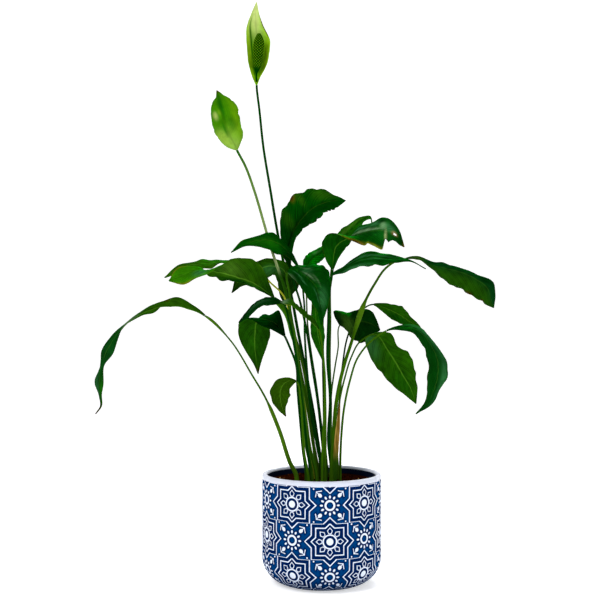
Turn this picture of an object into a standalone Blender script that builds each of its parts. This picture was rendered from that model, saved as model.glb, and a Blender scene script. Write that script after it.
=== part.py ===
"""Potted peace lily: a glazed pot of compost, twenty-one leaves and two flowers.

Metres, +Z up. The origin is the centre of the pot's foot, and the front faces -Y.
Each leaf is one smooth curve from the compost to its tip: the lower part is the round
stalk, and along the upper part the blade reaches out to its left and right edges.
"""

import math

import bmesh
import bpy
from mathutils import Vector

# Pot
POT_DIAMETER = 0.135
POT_HEIGHT = 0.123
POT_WALL = 0.006
POT_FLOOR = 0.008
POT_CORNER = 0.030  # radius where the side turns under to the foot
POT_STEPS = 40
CORNER_STEPS = 6
RIM_STEPS = 4

# Compost
COMPOST_BELOW_RIM = 0.009
TOUCH_GAP = 0.0003  # between pieces that touch

# Plant: the guide points below are for a plant 545 units tall, standing on the compost
PLANT_HEIGHT = 0.545
UNIT = PLANT_HEIGHT / 545
STALK_POINTS = 12
STALK_FOOT = 3 * UNIT  # each stalk leaves the compost upright for this height
STALK_SIDES = 2  # makes a stalk with eight sides
# Thickness, and how far each half bows towards the upper face, as a share of its width
BLADE_SKIN = (0.0008, 0.08)
SPATHE_SKIN = (0.0010, -0.12)
SHEATH_SKIN = (0.0006, 0.0)
BLADE_COLUMNS = 4
EXTRA_ROWS = 5
BLADE_END = 1.4  # half-width where the blade meets its stalk
BLADE_TIP = 0.5
FINE_STEP = 0.001  # for reading the direction of a curve
SPADIX_STIPE = 1.3  # radius of the short stem under the flower spike

# Colours: base colour, roughness
GLAZE_BLUE = ((0.010, 0.070, 0.330), 0.16)
COMPOST_BROWN = ((0.035, 0.012, 0.006), 0.95)
BLADE_GREEN = ((0.012, 0.110, 0.012), 0.32)
STALK_GREEN = ((0.110, 0.230, 0.015), 0.42)
SPATHE_GREEN = ((0.150, 0.330, 0.060), 0.40)
SPADIX_GREEN = ((0.050, 0.130, 0.015), 0.60)
SHEATH_BROWN = ((0.300, 0.190, 0.075), 0.80)

# Each leaf, in plant units from the middle of the compost's surface: the points of its
# stalk, the base and the tip of its blade, and between them the points of the midrib
# with the reach from each to the left and to the right edge, seen on the upper face.
# radii: the stalk's at the compost and at the blade.
LEAVES = {
    "top": dict(
        radii=(2.2, 1.2),
        stalk=[(5, 4, 0), (1, 6, 45), (-4, 8, 90), (-10, 10, 127), (-17, 14, 171), (-24, 20, 202)],
        base=(-36, 27, 243),
        blade=[
            ((-38, 30, 261), (-8, -4, 1), (5, -4, 1)),
            ((-35, 30, 276), (-12, -5, 4), (6, -9, 0)),
            ((-29, 28, 289), (-17, -6, 19), (8, -20, -4)),
            ((-21, 24, 300), (-16, -6, 21), (11, -20, -8)),
            ((-9, 18, 311), (-12, -4, 20), (14, -14, -7)),
            ((10, 14, 318), (-6, -2, 14), (5, -8, -10)),
        ],
        tip=(28, 12, 319),
    ),
    "left_upper": dict(
        radii=(2.0, 1.0),
        stalk=[(2, -6, 0), (-4, -4, 35), (-12, -3, 80), (-16, -2, 119), (-19, 0, 165), (-20, 4, 205)],
        base=(-27, 8, 243),
        blade=[
            ((-37, 4, 258), (-3, -3, -3), (2, 4, 4)),
            ((-48, -2, 268), (0, -6, -12), (-1, 7, 9)),
            ((-61, -6, 272), (1, -8, -11), (0, 8, 9)),
            ((-73, -12, 271), (1, -7, -8), (-1, 7, 6)),
            ((-85, -18, 267), (1, -5, -3), (-4, 4, 4)),
        ],
        tip=(-101, -22, 257),
    ),
    "left_front": dict(
        radii=(2.3, 1.5),
        stalk=[(-11, -4, 0), (-18, -6, 46), (-21, -8, 86), (-26, -8, 126), (-32, -8, 165), (-40, -8, 191)],
        base=(-54, -6, 207),
        blade=[
            ((-68, -17, 218), (6, -4, 13), (-2, 6, -3)),
            ((-79, -32, 224), (7, -8, 22), (-2, 14, -4)),
            ((-92, -46, 228), (2, -12, 20), (-1, 16, -4)),
            ((-106, -58, 232), (5, -16, 13), (-4, 14, -8)),
            ((-120, -68, 234), (4, -16, 1), (-2, 12, -4)),
            ((-136, -76, 234), (2, -9, -9), (4, 9, 4)),
            ((-149, -82, 229), (2, -5, -10), (-4, 5, 9)),
        ],
        tip=(-162, -86, 223),
    ),
    "left_behind": dict(
        radii=(1.8, 1.0),
        stalk=[(-8, 14, 0), (-14, 14, 44), (-20, 14, 90), (-27, 13, 136), (-35, 13, 182), (-44, 14, 211)],
        base=(-61, 14, 228),
        blade=[
            ((-70, 14, 242), (3, -8, -8), (-4, 8, 6)),
            ((-86, 10, 247), (2, -14, -9), (-3, 13, 4)),
            ((-106, 2, 248), (2, -15, -2), (-2, 15, 2)),
            ((-124, -6, 246), (2, -13, -5), (-2, 14, 4)),
            ((-140, -14, 244), (2, -10, -7), (-2, 10, 4)),
            ((-156, -18, 241), (3, -6, -6), (-4, 6, 3)),
        ],
        tip=(-175, -22, 229),
    ),
    "left_back": dict(
        radii=(2.0, 1.3),
        stalk=[(-6, 22, 0), (-11, 24, 55), (-17, 26, 107), (-27, 27, 153), (-36, 27, 182)],
        base=(-42, 26, 202),
        blade=[
            ((-41, 28, 213), (8, -3, -1), (-7, -2, -2)),
            ((-39, 32, 227), (13, -5, -5), (-11, -5, -4)),
            ((-45, 40, 242), (13, -2, 3), (-9, -4, -8)),
            ((-60, 46, 246), (2, -2, 9), (-2, -3, -14)),
            ((-76, 48, 241), (0, -4, 10), (1, -4, -18)),
            ((-92, 46, 234), (-3, -3, 10), (3, -3, -11)),
        ],
        tip=(-104, 36, 214),
    ),
    "centre_front": dict(
        radii=(1.9, 1.3),
        stalk=[(-6, -14, 0), (-14, -14, 42), (-19, -14, 76), (-24, -15, 115), (-30, -15, 154),
               (-35, -12, 188), (-36, -9, 210)],
        base=(-38, -8, 236),
        blade=[
            ((-32, -14, 239), (2, 8, 4), (-3, -6, -8)),
            ((-23, -24, 234), (7, 14, 9), (-2, -10, -14)),
            ((-15, -40, 227), (16, 12, 17), (-6, -8, -14)),
            ((-7, -54, 217), (16, 8, 10), (-8, -12, -12)),
            ((-4, -64, 205), (12, 3, 2), (-7, -8, -7)),
            ((-2, -70, 192), (6, 1, 0), (-4, -4, -2)),
        ],
        tip=(-2, -72, 177),
    ),
    "centre_small": dict(
        radii=(1.7, 0.8),
        stalk=[(4, 14, 0), (0, 16, 56), (-5, 18, 102), (-12, 20, 148), (-16, 20, 182), (-17, 20, 211)],
        base=(-19, 22, 236),
        blade=[
            ((-16, 34, 245), (-5, 2, 5), (6, -2, -2)),
            ((-9, 54, 255), (-6, 3, 6), (6, -3, -6)),
            ((1, 74, 262), (-5, 3, 6), (4, -3, -5)),
            ((11, 90, 270), (-4, 2, 5), (2, -2, -4)),
        ],
        tip=(19, 102, 277),
    ),
    "right_torn": dict(
        radii=(2.4, 1.4),
        stalk=[(12, -6, 0), (8, -4, 47), (10, -2, 92), (7, 2, 137), (8, 6, 182), (9, 10, 211)],
        base=(13, 14, 240),
        blade=[
            ((14, 14, 253), (6, 2, 0), (-9, -3, -1)),
            ((17, 10, 266), (9, 6, -2), (-16, -4, 7)),
            ((26, 2, 273), (8, 8, -3), (-12, -12, 6)),
            ((40, -6, 277), (0, 12, 9), (1, -18, -10)),
            ((55, -14, 281), (2, 12, 12), (-1, -8, -17)),
            ((71, -20, 281), (2, 6, 16), (0, -4, -20)),
            ((83, -24, 275), (3, 4, 8), (0, -3, -10)),
        ],
        tip=(91, -26, 263),
    ),
    "right_curled": dict(
        radii=(1.8, 1.0),
        stalk=[(14, 6, 0), (11, 10, 45), (11, 14, 90), (10, 22, 136), (11, 30, 182), (11, 38, 217)],
        base=(13, 48, 244),
        blade=[
            ((20, 58, 266), (-6, -3, 3), (6, -3, -4)),
            ((30, 66, 283), (-7, -3, 6), (7, -4, -6)),
            ((41, 74, 295), (-6, -3, 3), (7, -4, -6)),
            ((52, 78, 304), (-3, -2, 3), (1, -3, -3)),
            ((61, 80, 307), (0, -2, 1), (0, -2, -3)),
        ],
        tip=(63, 80, 299),
    ),
    "right_middle": dict(
        radii=(1.8, 1.0),
        stalk=[(7, 22, 0), (4, 22, 43), (3, 22, 90), (2, 21, 136), (2, 18, 182), (4, 8, 213)],
        base=(11, -2, 232),
        blade=[
            ((24, -14, 239), (0, 8, 3), (1, -8, -4)),
            ((39, -20, 247), (1, 10, 7), (1, -10, -7)),
            ((53, -24, 251), (-1, 11, 8), (0, -10, -9)),
            ((67, -28, 250), (0, 9, 7), (-1, -9, -7)),
            ((82, -30, 249), (1, 6, 4), (-1, -6, -4)),
            ((97, -32, 247), (0, 2, 1), (0, -2, -1)),
        ],
        tip=(114, -34, 238),
    ),
    "right_far": dict(
        radii=(2.9, 1.2),
        stalk=[(11, -16, 0), (13, -16, 48), (17, -14, 95), (26, -10, 134), (33, -6, 155),
               (41, 2, 180), (51, 12, 205), (62, 22, 224), (76, 32, 243), (88, 38, 251)],
        base=(100, 44, 254),
        blade=[
            ((113, 44, 254), (-1, 5, 4), (1, -5, -1)),
            ((129, 40, 247), (2, 8, 5), (2, -8, -7)),
            ((146, 34, 242), (4, 10, 6), (-3, -8, -15)),
            ((163, 26, 237), (5, 10, 5), (-7, -8, -19)),
            ((178, 18, 229), (6, 9, 5), (-10, -6, -17)),
            ((190, 10, 218), (8, 6, 7), (-9, -4, -14)),
            ((193, 6, 206), (6, 3, 3), (-5, -2, -7)),
        ],
        tip=(196, 4, 196),
    ),
    "right_drooping": dict(
        radii=(1.4, 0.9),
        stalk=[(19, 8, 0), (18, 8, 45), (21, 8, 91), (27, 8, 117), (34, 10, 139), (44, 12, 157)],
        base=(61, 16, 166),
        blade=[
            ((69, 28, 161), (-17, -4, 0), (12, 4, 6)),
            ((77, 36, 149), (-20, -6, -10), (13, 6, 3)),
            ((87, 42, 134), (-18, -8, -11), (19, 8, 8)),
            ((97, 46, 117), (-15, -7, -10), (15, 8, 4)),
            ((106, 48, 102), (-10, -4, -6), (9, 5, 2)),
        ],
        tip=(113, 50, 83),
    ),
    "right_small": dict(
        radii=(1.4, 0.8),
        stalk=[(11, 16, 0), (11, 18, 55), (12, 20, 99), (16, 24, 127), (20, 30, 150)],
        base=(22, 34, 176),
        blade=[
            ((28, 40, 181), (-13, 3, 11), (0, -3, -9)),
            ((39, 48, 181), (-4, 8, 11), (-1, -6, -22)),
            ((52, 54, 180), (1, 8, 16), (-2, -6, -25)),
            ((63, 58, 176), (2, 5, 12), (-3, -3, -13)),
        ],
        tip=(71, 60, 170),
    ),
    "right_glossy": dict(
        radii=(1.6, 1.0),
        stalk=[(21, -4, 0), (22, -6, 47), (25, -8, 81), (32, -10, 115), (40, -12, 139),
               (50, -12, 153), (61, -12, 163)],
        base=(73, -12, 170),
        blade=[
            ((88, -14, 173), (1, 7, 3), (-1, -7, -2)),
            ((101, -16, 173), (2, 10, 4), (-2, -10, -5)),
            ((113, -18, 165), (4, 12, 4), (-7, -10, -5)),
            ((122, -20, 152), (8, 12, 1), (-9, -10, -2)),
            ((128, -22, 137), (12, 11, 0), (-11, -9, -1)),
            ((128, -24, 121), (11, 10, -2), (-12, -8, -1)),
            ((124, -24, 105), (7, 8, -3), (-8, -6, -1)),
            ((118, -24, 92), (6, 5, -3), (-4, -4, 0)),
        ],
        tip=(104, -24, 78),
    ),
    "right_back": dict(
        radii=(1.6, 0.9),
        stalk=[(17, 18, 0), (19, 26, 43), (22, 38, 88), (26, 50, 129), (33, 62, 164), (44, 70, 188)],
        base=(65, 74, 201),
        blade=[
            ((72, 76, 199), (-3, -2, -2), (3, 3, 4)),
            ((85, 78, 194), (-5, -3, -6), (6, 8, 7)),
            ((97, 80, 188), (-5, -4, -8), (5, 6, 9)),
            ((108, 82, 181), (-5, -3, -5), (3, 5, 5)),
            ((118, 82, 174), (-3, -2, -2), (3, 2, 2)),
        ],
        tip=(126, 82, 164),
    ),
    "left_hanging": dict(
        radii=(2.1, 1.3),
        stalk=[(-17, 0, 0), (-21, 0, 36), (-24, -1, 69), (-27, -1, 103), (-29, -1, 133), (-36, 2, 151)],
        base=(-42, 6, 164),
        blade=[
            ((-50, 10, 176), (-7, 0, -5), (3, 2, 15)),
            ((-63, 26, 182), (-6, -4, -7), (4, 8, 7)),
            ((-75, 50, 182), (-14, 4, 2), (8, 10, 4)),
            ((-78, 66, 170), (-21, 2, 4), (18, 4, -1)),
            ((-79, 72, 154), (-17, 0, 2), (16, 0, 0)),
            ((-78, 74, 139), (-10, 0, 2), (10, 0, 1)),
            ((-76, 74, 127), (-4, 0, 1), (4, 0, 1)),
        ],
        tip=(-75, 74, 117),
    ),
    "left_narrow": dict(
        radii=(1.8, 1.1),
        stalk=[(-12, -22, 0), (-17, -22, 43), (-21, -22, 82), (-26, -22, 121), (-31, -19, 154),
               (-37, -18, 182)],
        base=(-44, -18, 201),
        blade=[
            ((-53, -19, 203), (0, -6, -4), (1, 6, 4)),
            ((-65, -21, 203), (1, -7, -5), (1, 8, 4)),
            ((-76, -24, 197), (2, -6, -5), (1, 7, 4)),
            ((-83, -28, 189), (2, -4, -4), (-1, 3, 2)),
        ],
        tip=(-92, -32, 179),
    ),
    "upright_folded": dict(
        radii=(1.7, 1.2),
        stalk=[(4, -17, 0), (4, -15, 48), (4, -8, 92)],
        base=(2, 0, 136),
        blade=[
            ((-1, 0, 150), (4, 4, 3), (-6, 4, 2)),
            ((-4, 2, 165), (8, 6, 0), (-8, 8, 1)),
            ((-6, 4, 180), (8, 8, 0), (-6, 9, 2)),
            ((-7, 8, 194), (6, 8, 0), (-4, 8, 5)),
            ((-7, 14, 207), (4, 5, 0), (-3, 5, 0)),
        ],
        tip=(-6, 22, 221),
    ),
    "edge_on": dict(
        radii=(1.6, 1.0),
        stalk=[(0, -26, 0), (1, -26, 49), (3, -26, 93), (2, -27, 136), (-1, -28, 160)],
        base=(-4, -28, 172),
        blade=[
            ((-12, -29, 180), (1, -8, 6), (0, 8, 2)),
            ((-21, -30, 187), (2, -10, 5), (1, 10, 3)),
            ((-31, -30, 196), (2, -9, 4), (0, 9, 2)),
            ((-38, -28, 201), (3, -5, 5), (-2, 4, -2)),
        ],
        tip=(-46, -26, 202),
    ),
    "left_lower": dict(
        radii=(1.6, 1.0),
        stalk=[(-15, -27, 0), (-20, -28, 37), (-22, -29, 71), (-24, -29, 95)],
        base=(-29, -30, 114),
        blade=[
            ((-37, -31, 115), (-1, -4, 4), (2, 3, -8)),
            ((-43, -33, 111), (-6, -5, 6), (7, 4, -8)),
            ((-46, -34, 104), (-10, -5, 4), (11, 5, -4)),
            ((-46, -35, 95), (-10, -4, 1), (9, 4, -1)),
            ((-44, -35, 86), (-6, -2, -1), (4, 2, 0)),
        ],
        tip=(-40, -35, 76),
    ),
    "far_left": dict(
        radii=(1.7, 0.8),
        stalk=[(-28, -4, 0), (-36, -6, 22), (-47, -8, 56), (-64, -10, 96), (-78, -12, 120),
               (-103, -14, 160)],
        base=(-131, -16, 187),
        blade=[
            ((-144, -20, 193), (-1, -3, 7), (0, 6, 6)),
            ((-158, -24, 197), (1, -6, 10), (0, 10, 8)),
            ((-174, -28, 197), (2, -9, 7), (-1, 11, 4)),
            ((-185, -32, 195), (1, -10, 5), (0, 10, -4)),
            ((-200, -36, 188), (0, -10, 1), (0, 10, -2)),
            ((-215, -38, 177), (1, -10, -1), (-2, 10, 0)),
            ((-228, -40, 161), (5, -9, -2), (-6, 8, 1)),
            ((-236, -40, 147), (8, -8, -2), (-7, 7, 1)),
            ((-241, -40, 132), (3, -6, 0), (-3, 6, -1)),
            ((-244, -40, 114), (6, -6, -3), (-6, 5, 0)),
            ((-243, -40, 100), (2, -1, 0), (-2, 1, 0)),
            ((-242, -40, 88), (1, -1, 0), (-1, 1, 0)),
        ],
        tip=(-248, -40, 79),
    ),
}

# Each flower: its stalk, the spathe as a leaf blade, and the middle line of the spadix,
# given as reaches from the base of the spathe, with its radius.
FLOWERS = {
    "high": dict(
        radii=(2.3, 1.3),
        stalk=[(0, 28, 0), (-6, 30, 56), (-16, 34, 113), (-27, 41, 170), (-36, 48, 218),
               (-44, 46, 251), (-51, 41, 286), (-59, 32, 334), (-67, 22, 384), (-71, 15, 423)],
        base=(-74, 10, 451),
        blade=[
            ((-74, 12, 461), (-5, -4, -1), (4, -4, -2)),
            ((-74, 17, 475), (-9, -8, -1), (11, -10, -3)),
            ((-74, 20, 491), (-11, -8, -2), (15, -12, -2)),
            ((-74, 20, 507), (-12, -8, -1), (15, -10, -3)),
            ((-75, 16, 520), (-10, -6, -1), (9, -6, -2)),
            ((-75, 11, 533), (-4, -2, 2), (4, -2, -1)),
        ],
        tip=(-74, 8, 545),
        spadix=[(0, -3, 3), (0, -4, 12), (1, -5, 22), (2, -6, 33), (3, -6, 51), (3, -6, 57)],
        spadix_radius=5.6,
    ),
    "low": dict(
        radii=(2.2, 1.4),
        stalk=[(-4, 0, 0), (-10, 1, 46), (-16, 3, 85), (-24, 4, 125), (-31, 4, 165),
               (-37, 5, 199), (-43, 6, 222), (-50, 7, 242), (-58, 8, 266), (-66, 7, 294),
               (-76, 4, 328), (-87, 2, 358)],
        base=(-96, 0, 375),
        blade=[
            ((-99, 0, 382), (7, 3, 1), (-9, 3, -3)),
            ((-104, -2, 391), (15, 6, 2), (-15, 5, 0)),
            ((-109, -3, 403), (17, 8, 3), (-15, 7, 1)),
            ((-113, -3, 415), (20, 9, 4), (-13, 8, 4)),
            ((-116, -2, 427), (16, 6, 4), (-8, 4, 2)),
            ((-117, 0, 436), (8, 3, 1), (-3, 2, 0)),
        ],
        tip=(-119, 2, 443),
        spadix=[(-2, 2, 3), (-4, 6, 10), (-8, 8, 18), (-12, 9, 30), (-16, 9, 42), (-18, 9, 47)],
        spadix_radius=4.6,
    ),
}

# The dry sheath stands at the front of the clump, hollow side to the stalk behind it.
SHEATH = dict(
    base=(15, -22, 0.3),
    blade=[
        ((15, -22, 18), (2.5, 1.0, 0), (-2.5, 1.0, 0)),
        ((16, -22, 40), (2.8, 1.5, 0), (-2.8, 1.5, 0)),
        ((18, -22, 65), (2.2, 1.2, 0), (-2.2, 1.2, 0)),
    ],
    tip=(20, -23, 90),
)


def clear_scene():
    for obj in list(bpy.data.objects):
        bpy.data.objects.remove(obj)


def make_collection(name):
    collection = bpy.data.collections.new(name)
    bpy.context.scene.collection.children.link(collection)
    return collection


def make_material(name, finish):
    colour, roughness = finish
    material = bpy.data.materials.new(name)
    material.use_nodes = True
    shader = material.node_tree.nodes["Principled BSDF"]
    shader.inputs["Base Color"].default_value = (*colour, 1)
    shader.inputs["Roughness"].default_value = roughness
    shader.inputs["Metallic"].default_value = 0
    return material


def add_object(name, data, finish, collection):
    obj = bpy.data.objects.new(name, data)
    data.materials.append(make_material(name, finish))
    collection.objects.link(obj)
    return obj


# Round pieces


def arc(centre, radius, start, end, steps):
    """Points of an arc in the profile's plane, its angles in degrees from outwards."""
    angles = [math.radians(start + (end - start) * i / steps) for i in range(steps + 1)]
    return [
        (centre[0] + radius * math.cos(a), centre[1] + radius * math.sin(a)) for a in angles
    ]


def add_turned(name, profile, finish, collection):
    """A profile of (radius, height) turned round the Z axis."""
    mesh = bpy.data.meshes.new(name)
    points = [(radius, 0, height) for radius, height in profile]
    mesh.from_pydata(points, [(i, i + 1) for i in range(len(points) - 1)], [])
    obj = add_object(name, mesh, finish, collection)
    screw = obj.modifiers.new("Turn", "SCREW")
    screw.steps = POT_STEPS
    screw.render_steps = POT_STEPS
    screw.use_merge_vertices = True
    screw.merge_threshold = 0.00005
    screw.use_smooth_shade = True
    return obj


def bowl_profile(radius, floor, corner):
    """From the middle of a floor out to its corner and up into the wall."""
    centre = (radius - corner, floor + corner)
    return [(0, floor)] + arc(centre, corner, -90, 0, CORNER_STEPS)


def add_pot(collection):
    outer = POT_DIAMETER / 2
    inside = bowl_profile(outer - POT_WALL, POT_FLOOR, POT_CORNER - POT_WALL)
    lip = POT_WALL / 2
    rim = arc((outer - lip, POT_HEIGHT - lip), lip, 180, 0, RIM_STEPS)
    outside = bowl_profile(outer, 0, POT_CORNER)
    add_turned("pot", inside + rim + outside[::-1], GLAZE_BLUE, collection)


def compost_top():
    return POT_HEIGHT - COMPOST_BELOW_RIM


def add_compost(collection):
    radius = POT_DIAMETER / 2 - POT_WALL - TOUCH_GAP
    corner = POT_CORNER - POT_WALL - TOUCH_GAP
    side = bowl_profile(radius, POT_FLOOR + TOUCH_GAP, corner)
    profile = [(0, compost_top()), (radius, compost_top())] + side[::-1]
    add_turned("compost", profile, COMPOST_BROWN, collection)


# Smooth curves through the guide points


def plant_point(point):
    """A guide point in plant units, as a place in metres above the compost."""
    return Vector(point) * UNIT + Vector((0, 0, compost_top()))


def distances(points):
    """How far along the straight runs between the points each one lies."""
    found = [0]
    for a, b in zip(points, points[1:]):
        found.append(found[-1] + (b - a).length)
    return found


def slopes(values, knots):
    """The slope at each value that makes the curve through them smooth."""
    runs = [(b - a) / (t - s) for a, b, s, t in zip(values, values[1:], knots, knots[1:])]
    found = [runs[0]]
    for i in range(1, len(runs)):
        before = knots[i] - knots[i - 1]
        after = knots[i + 1] - knots[i]
        found.append((runs[i] * before + runs[i - 1] * after) / (before + after))
    return found + [runs[-1]]


def curve_at(values, knots, place):
    """The smooth curve through the values, read at a place along the knots."""
    i = 0
    while i < len(knots) - 2 and place > knots[i + 1]:
        i += 1
    span = knots[i + 1] - knots[i]
    t = (place - knots[i]) / span
    slope = slopes(values, knots)
    return (
        values[i] * (2 * t**3 - 3 * t**2 + 1)
        + slope[i] * span * (t**3 - 2 * t**2 + t)
        + values[i + 1] * (3 * t**2 - 2 * t**3)
        + slope[i + 1] * span * (t**3 - t**2)
    )


def spaced(start, end, count):
    return [start + (end - start) * i / (count - 1) for i in range(count)]


# Stalks and blades


def add_tube(name, path, radii, finish, collection):
    """A round solid along a path, with a radius at each point."""
    curve = bpy.data.curves.new(name, "CURVE")
    curve.dimensions = "3D"
    curve.bevel_depth = 1
    curve.bevel_resolution = STALK_SIDES
    curve.use_fill_caps = True
    spline = curve.splines.new("POLY")
    spline.points.add(len(path) - 1)
    for point, place, radius in zip(spline.points, path, radii):
        point.co = (*place, 1)
        point.radius = radius
    spline.use_smooth = True
    return add_object(name, curve, finish, collection)


def whole_curve(part):
    """The points of a leaf from its foot to its tip, and which one is the blade's base."""
    foot = Vector(part["stalk"][0]) * UNIT + Vector((0, 0, compost_top() + TOUCH_GAP))
    rise = foot + Vector((0, 0, STALK_FOOT))
    stalk = [foot, rise] + [plant_point(p) for p in part["stalk"][1:]]
    blade = [plant_point(station[0]) for station in part["blade"]]
    points = stalk + [plant_point(part["base"])] + blade + [plant_point(part["tip"])]
    return points, len(stalk)


def add_stalk(name, part, collection):
    """From the compost to just under the blade, thinner towards the top."""
    points, base = whole_curve(part)
    knots = distances(points)
    end = knots[base] - TOUCH_GAP
    places = [0] + spaced(knots[1], end - FINE_STEP, STALK_POINTS) + [end]
    path = [curve_at(points, knots, place) for place in places]
    foot, top = [radius * UNIT for radius in part["radii"]]
    shares = [place / end for place in places]
    radii = [foot + (top - foot) * share**0.7 for share in shares]
    add_tube(name, path, radii, STALK_GREEN, collection)


def squared(reach, along, length):
    """A reach turned square to the midrib, with a given length."""
    across = reach - along * reach.dot(along)
    return across.normalized() * length


def edge_reaches(part, points, knots, base):
    """The reaches to the left and to the right edge, from the blade's base to its tip."""
    along = slopes(points, knots)[base].normalized()
    found = []
    for side in (1, 2):
        reaches = [Vector(station[side]) * UNIT for station in part["blade"]]
        first = squared(reaches[0], along, BLADE_END * UNIT)
        last = reaches[-1].normalized() * BLADE_TIP * UNIT
        found.append([first] + reaches + [last])
    return found


def add_blade(name, part, points, base, skin, finish, collection):
    """A thin leaf: a grid laid along the midrib and out to both edges, made solid."""
    thickness, camber = skin
    knots = distances(points)
    left, right = edge_reaches(part, points, knots, base)

    def place(along, across):
        """along runs 0 to 1 to the tip, across -1 at the right edge to 1 at the left."""
        at = knots[base] + (knots[-1] - knots[base]) * along
        to_left = curve_at(left, knots[base:], at)
        to_right = curve_at(right, knots[base:], at)
        step = curve_at(points, knots, at + FINE_STEP) - curve_at(points, knots, at - FINE_STEP)
        upper = (to_right - to_left).cross(step).normalized()
        reach = to_left if across > 0 else to_right
        share = abs(across)
        bow = camber * reach.length * 4 * share * (1 - share)
        return curve_at(points, knots, at) + reach * share + upper * bow

    mesh = bpy.data.meshes.new(name)
    shape = bmesh.new()
    rows = len(part["blade"]) + EXTRA_ROWS
    bmesh.ops.create_grid(shape, x_segments=rows, y_segments=BLADE_COLUMNS, size=1)
    for vertex in shape.verts:
        vertex.co = place((vertex.co.x + 1) / 2, vertex.co.y)
    shape.to_mesh(mesh)
    shape.free()
    mesh.shade_smooth()
    obj = add_object(name, mesh, finish, collection)
    solid = obj.modifiers.new("Thickness", "SOLIDIFY")
    solid.thickness = thickness
    solid.offset = 0


def add_leaf(name, leaf, collection):
    points, base = whole_curve(leaf)
    add_stalk(f"leaf_{name}_stalk", leaf, collection)
    add_blade(f"leaf_{name}_blade", leaf, points, base, BLADE_SKIN, BLADE_GREEN, collection)


# Flowers and the dry sheath


def add_spadix(name, flower, collection):
    """A short stem that widens into a blunt spike, standing inside the spathe."""
    base = plant_point(flower["base"])
    points = [base + Vector(reach) * UNIT for reach in flower["spadix"]]
    knots = distances(points)
    stipe = SPADIX_STIPE * UNIT
    full = flower["spadix_radius"] * UNIT
    widths = [stipe, stipe, full * 0.9, full, full * 0.85, full * 0.35]
    places = spaced(0, knots[-1], STALK_POINTS)
    path = [curve_at(points, knots, place) for place in places]
    radii = [curve_at(widths, knots, place) for place in places]
    add_tube(name, path, radii, SPADIX_GREEN, collection)


def add_flower(name, flower, collection):
    points, base = whole_curve(flower)
    add_stalk(f"flower_{name}_stalk", flower, collection)
    spathe = f"flower_{name}_spathe"
    add_blade(spathe, flower, points, base, SPATHE_SKIN, SPATHE_GREEN, collection)
    add_spadix(f"flower_{name}_spadix", flower, collection)


def add_sheath(collection):
    ends = [SHEATH["base"]] + [station[0] for station in SHEATH["blade"]] + [SHEATH["tip"]]
    points = [plant_point(point) for point in ends]
    add_blade("dry_sheath", SHEATH, points, 0, SHEATH_SKIN, SHEATH_BROWN, collection)


def build():
    clear_scene()
    collection = make_collection("potted_peace_lily")
    add_pot(collection)
    add_compost(collection)
    for name, leaf in LEAVES.items():
        add_leaf(name, leaf, collection)
    for name, flower in FLOWERS.items():
        add_flower(name, flower, collection)
    add_sheath(collection)


build()
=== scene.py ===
# %% [markdown]
# # A potted peace lily
# A round glazed pot of compost carries twenty-one arching leaves and two hooded
# flowers on tall stalks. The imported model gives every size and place. This lesson
# gives each piece its real surface: veins, ripples and torn edges on the leaves, a
# knobbly spike in each flower, a raised pattern under the glaze, and loose compost.

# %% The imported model
import math

import bpy
import numpy as np
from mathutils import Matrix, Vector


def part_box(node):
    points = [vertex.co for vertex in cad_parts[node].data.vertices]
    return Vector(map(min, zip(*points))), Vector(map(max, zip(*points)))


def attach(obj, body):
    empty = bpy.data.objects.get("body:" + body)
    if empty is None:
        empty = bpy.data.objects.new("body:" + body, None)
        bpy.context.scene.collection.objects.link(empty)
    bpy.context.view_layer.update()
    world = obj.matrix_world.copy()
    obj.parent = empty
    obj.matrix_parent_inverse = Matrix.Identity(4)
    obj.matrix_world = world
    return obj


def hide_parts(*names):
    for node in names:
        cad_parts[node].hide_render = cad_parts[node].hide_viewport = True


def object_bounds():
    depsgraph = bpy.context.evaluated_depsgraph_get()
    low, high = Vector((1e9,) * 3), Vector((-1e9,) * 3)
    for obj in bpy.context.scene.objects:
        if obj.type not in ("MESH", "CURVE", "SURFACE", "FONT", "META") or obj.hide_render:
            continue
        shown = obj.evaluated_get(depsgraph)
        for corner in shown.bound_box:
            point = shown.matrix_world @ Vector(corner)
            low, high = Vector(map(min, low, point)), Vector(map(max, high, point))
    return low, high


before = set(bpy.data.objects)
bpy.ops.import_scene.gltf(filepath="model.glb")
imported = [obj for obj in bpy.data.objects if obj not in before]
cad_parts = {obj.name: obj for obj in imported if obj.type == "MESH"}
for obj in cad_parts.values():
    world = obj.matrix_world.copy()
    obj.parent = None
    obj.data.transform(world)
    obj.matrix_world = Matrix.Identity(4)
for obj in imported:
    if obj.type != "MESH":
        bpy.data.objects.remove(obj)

cad_box = [list(corner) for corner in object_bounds()]
print("the packed model spans", [[round(v, 3) for v in corner] for corner in cad_box])

# %% [markdown]
# ## Camera
# The plant is taller than it is wide, and is seen level with the middle of its leaves.
# A longish lens from a little over a metre, held level, keeps the pot's sides upright.
# Its frame is slid up a little instead of tilting the camera.

# %% Camera
lens = bpy.data.cameras.new("camera")
lens.sensor_width = 36
lens.lens = 60.84
lens.shift_y = 0.035
camera = bpy.data.objects.new("camera", lens)
camera.location = (-0.0244, -1.15, 0.295)
camera.rotation_euler = (math.radians(90), 0, 0)
bpy.context.scene.collection.objects.link(camera)
bpy.context.scene.camera = camera
bpy.context.scene.view_settings.view_transform = "Standard"
print("camera:", lens.lens, "mm lens at", camera.location[:])


# %% [markdown]
# ## Finishes as formulas
# A finish is a network of shader nodes. Long networks are easier to read as formulas,
# so a small class wraps one output of a node, and arithmetic on it adds the Math
# nodes. Another class holds a material while it is made.


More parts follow.
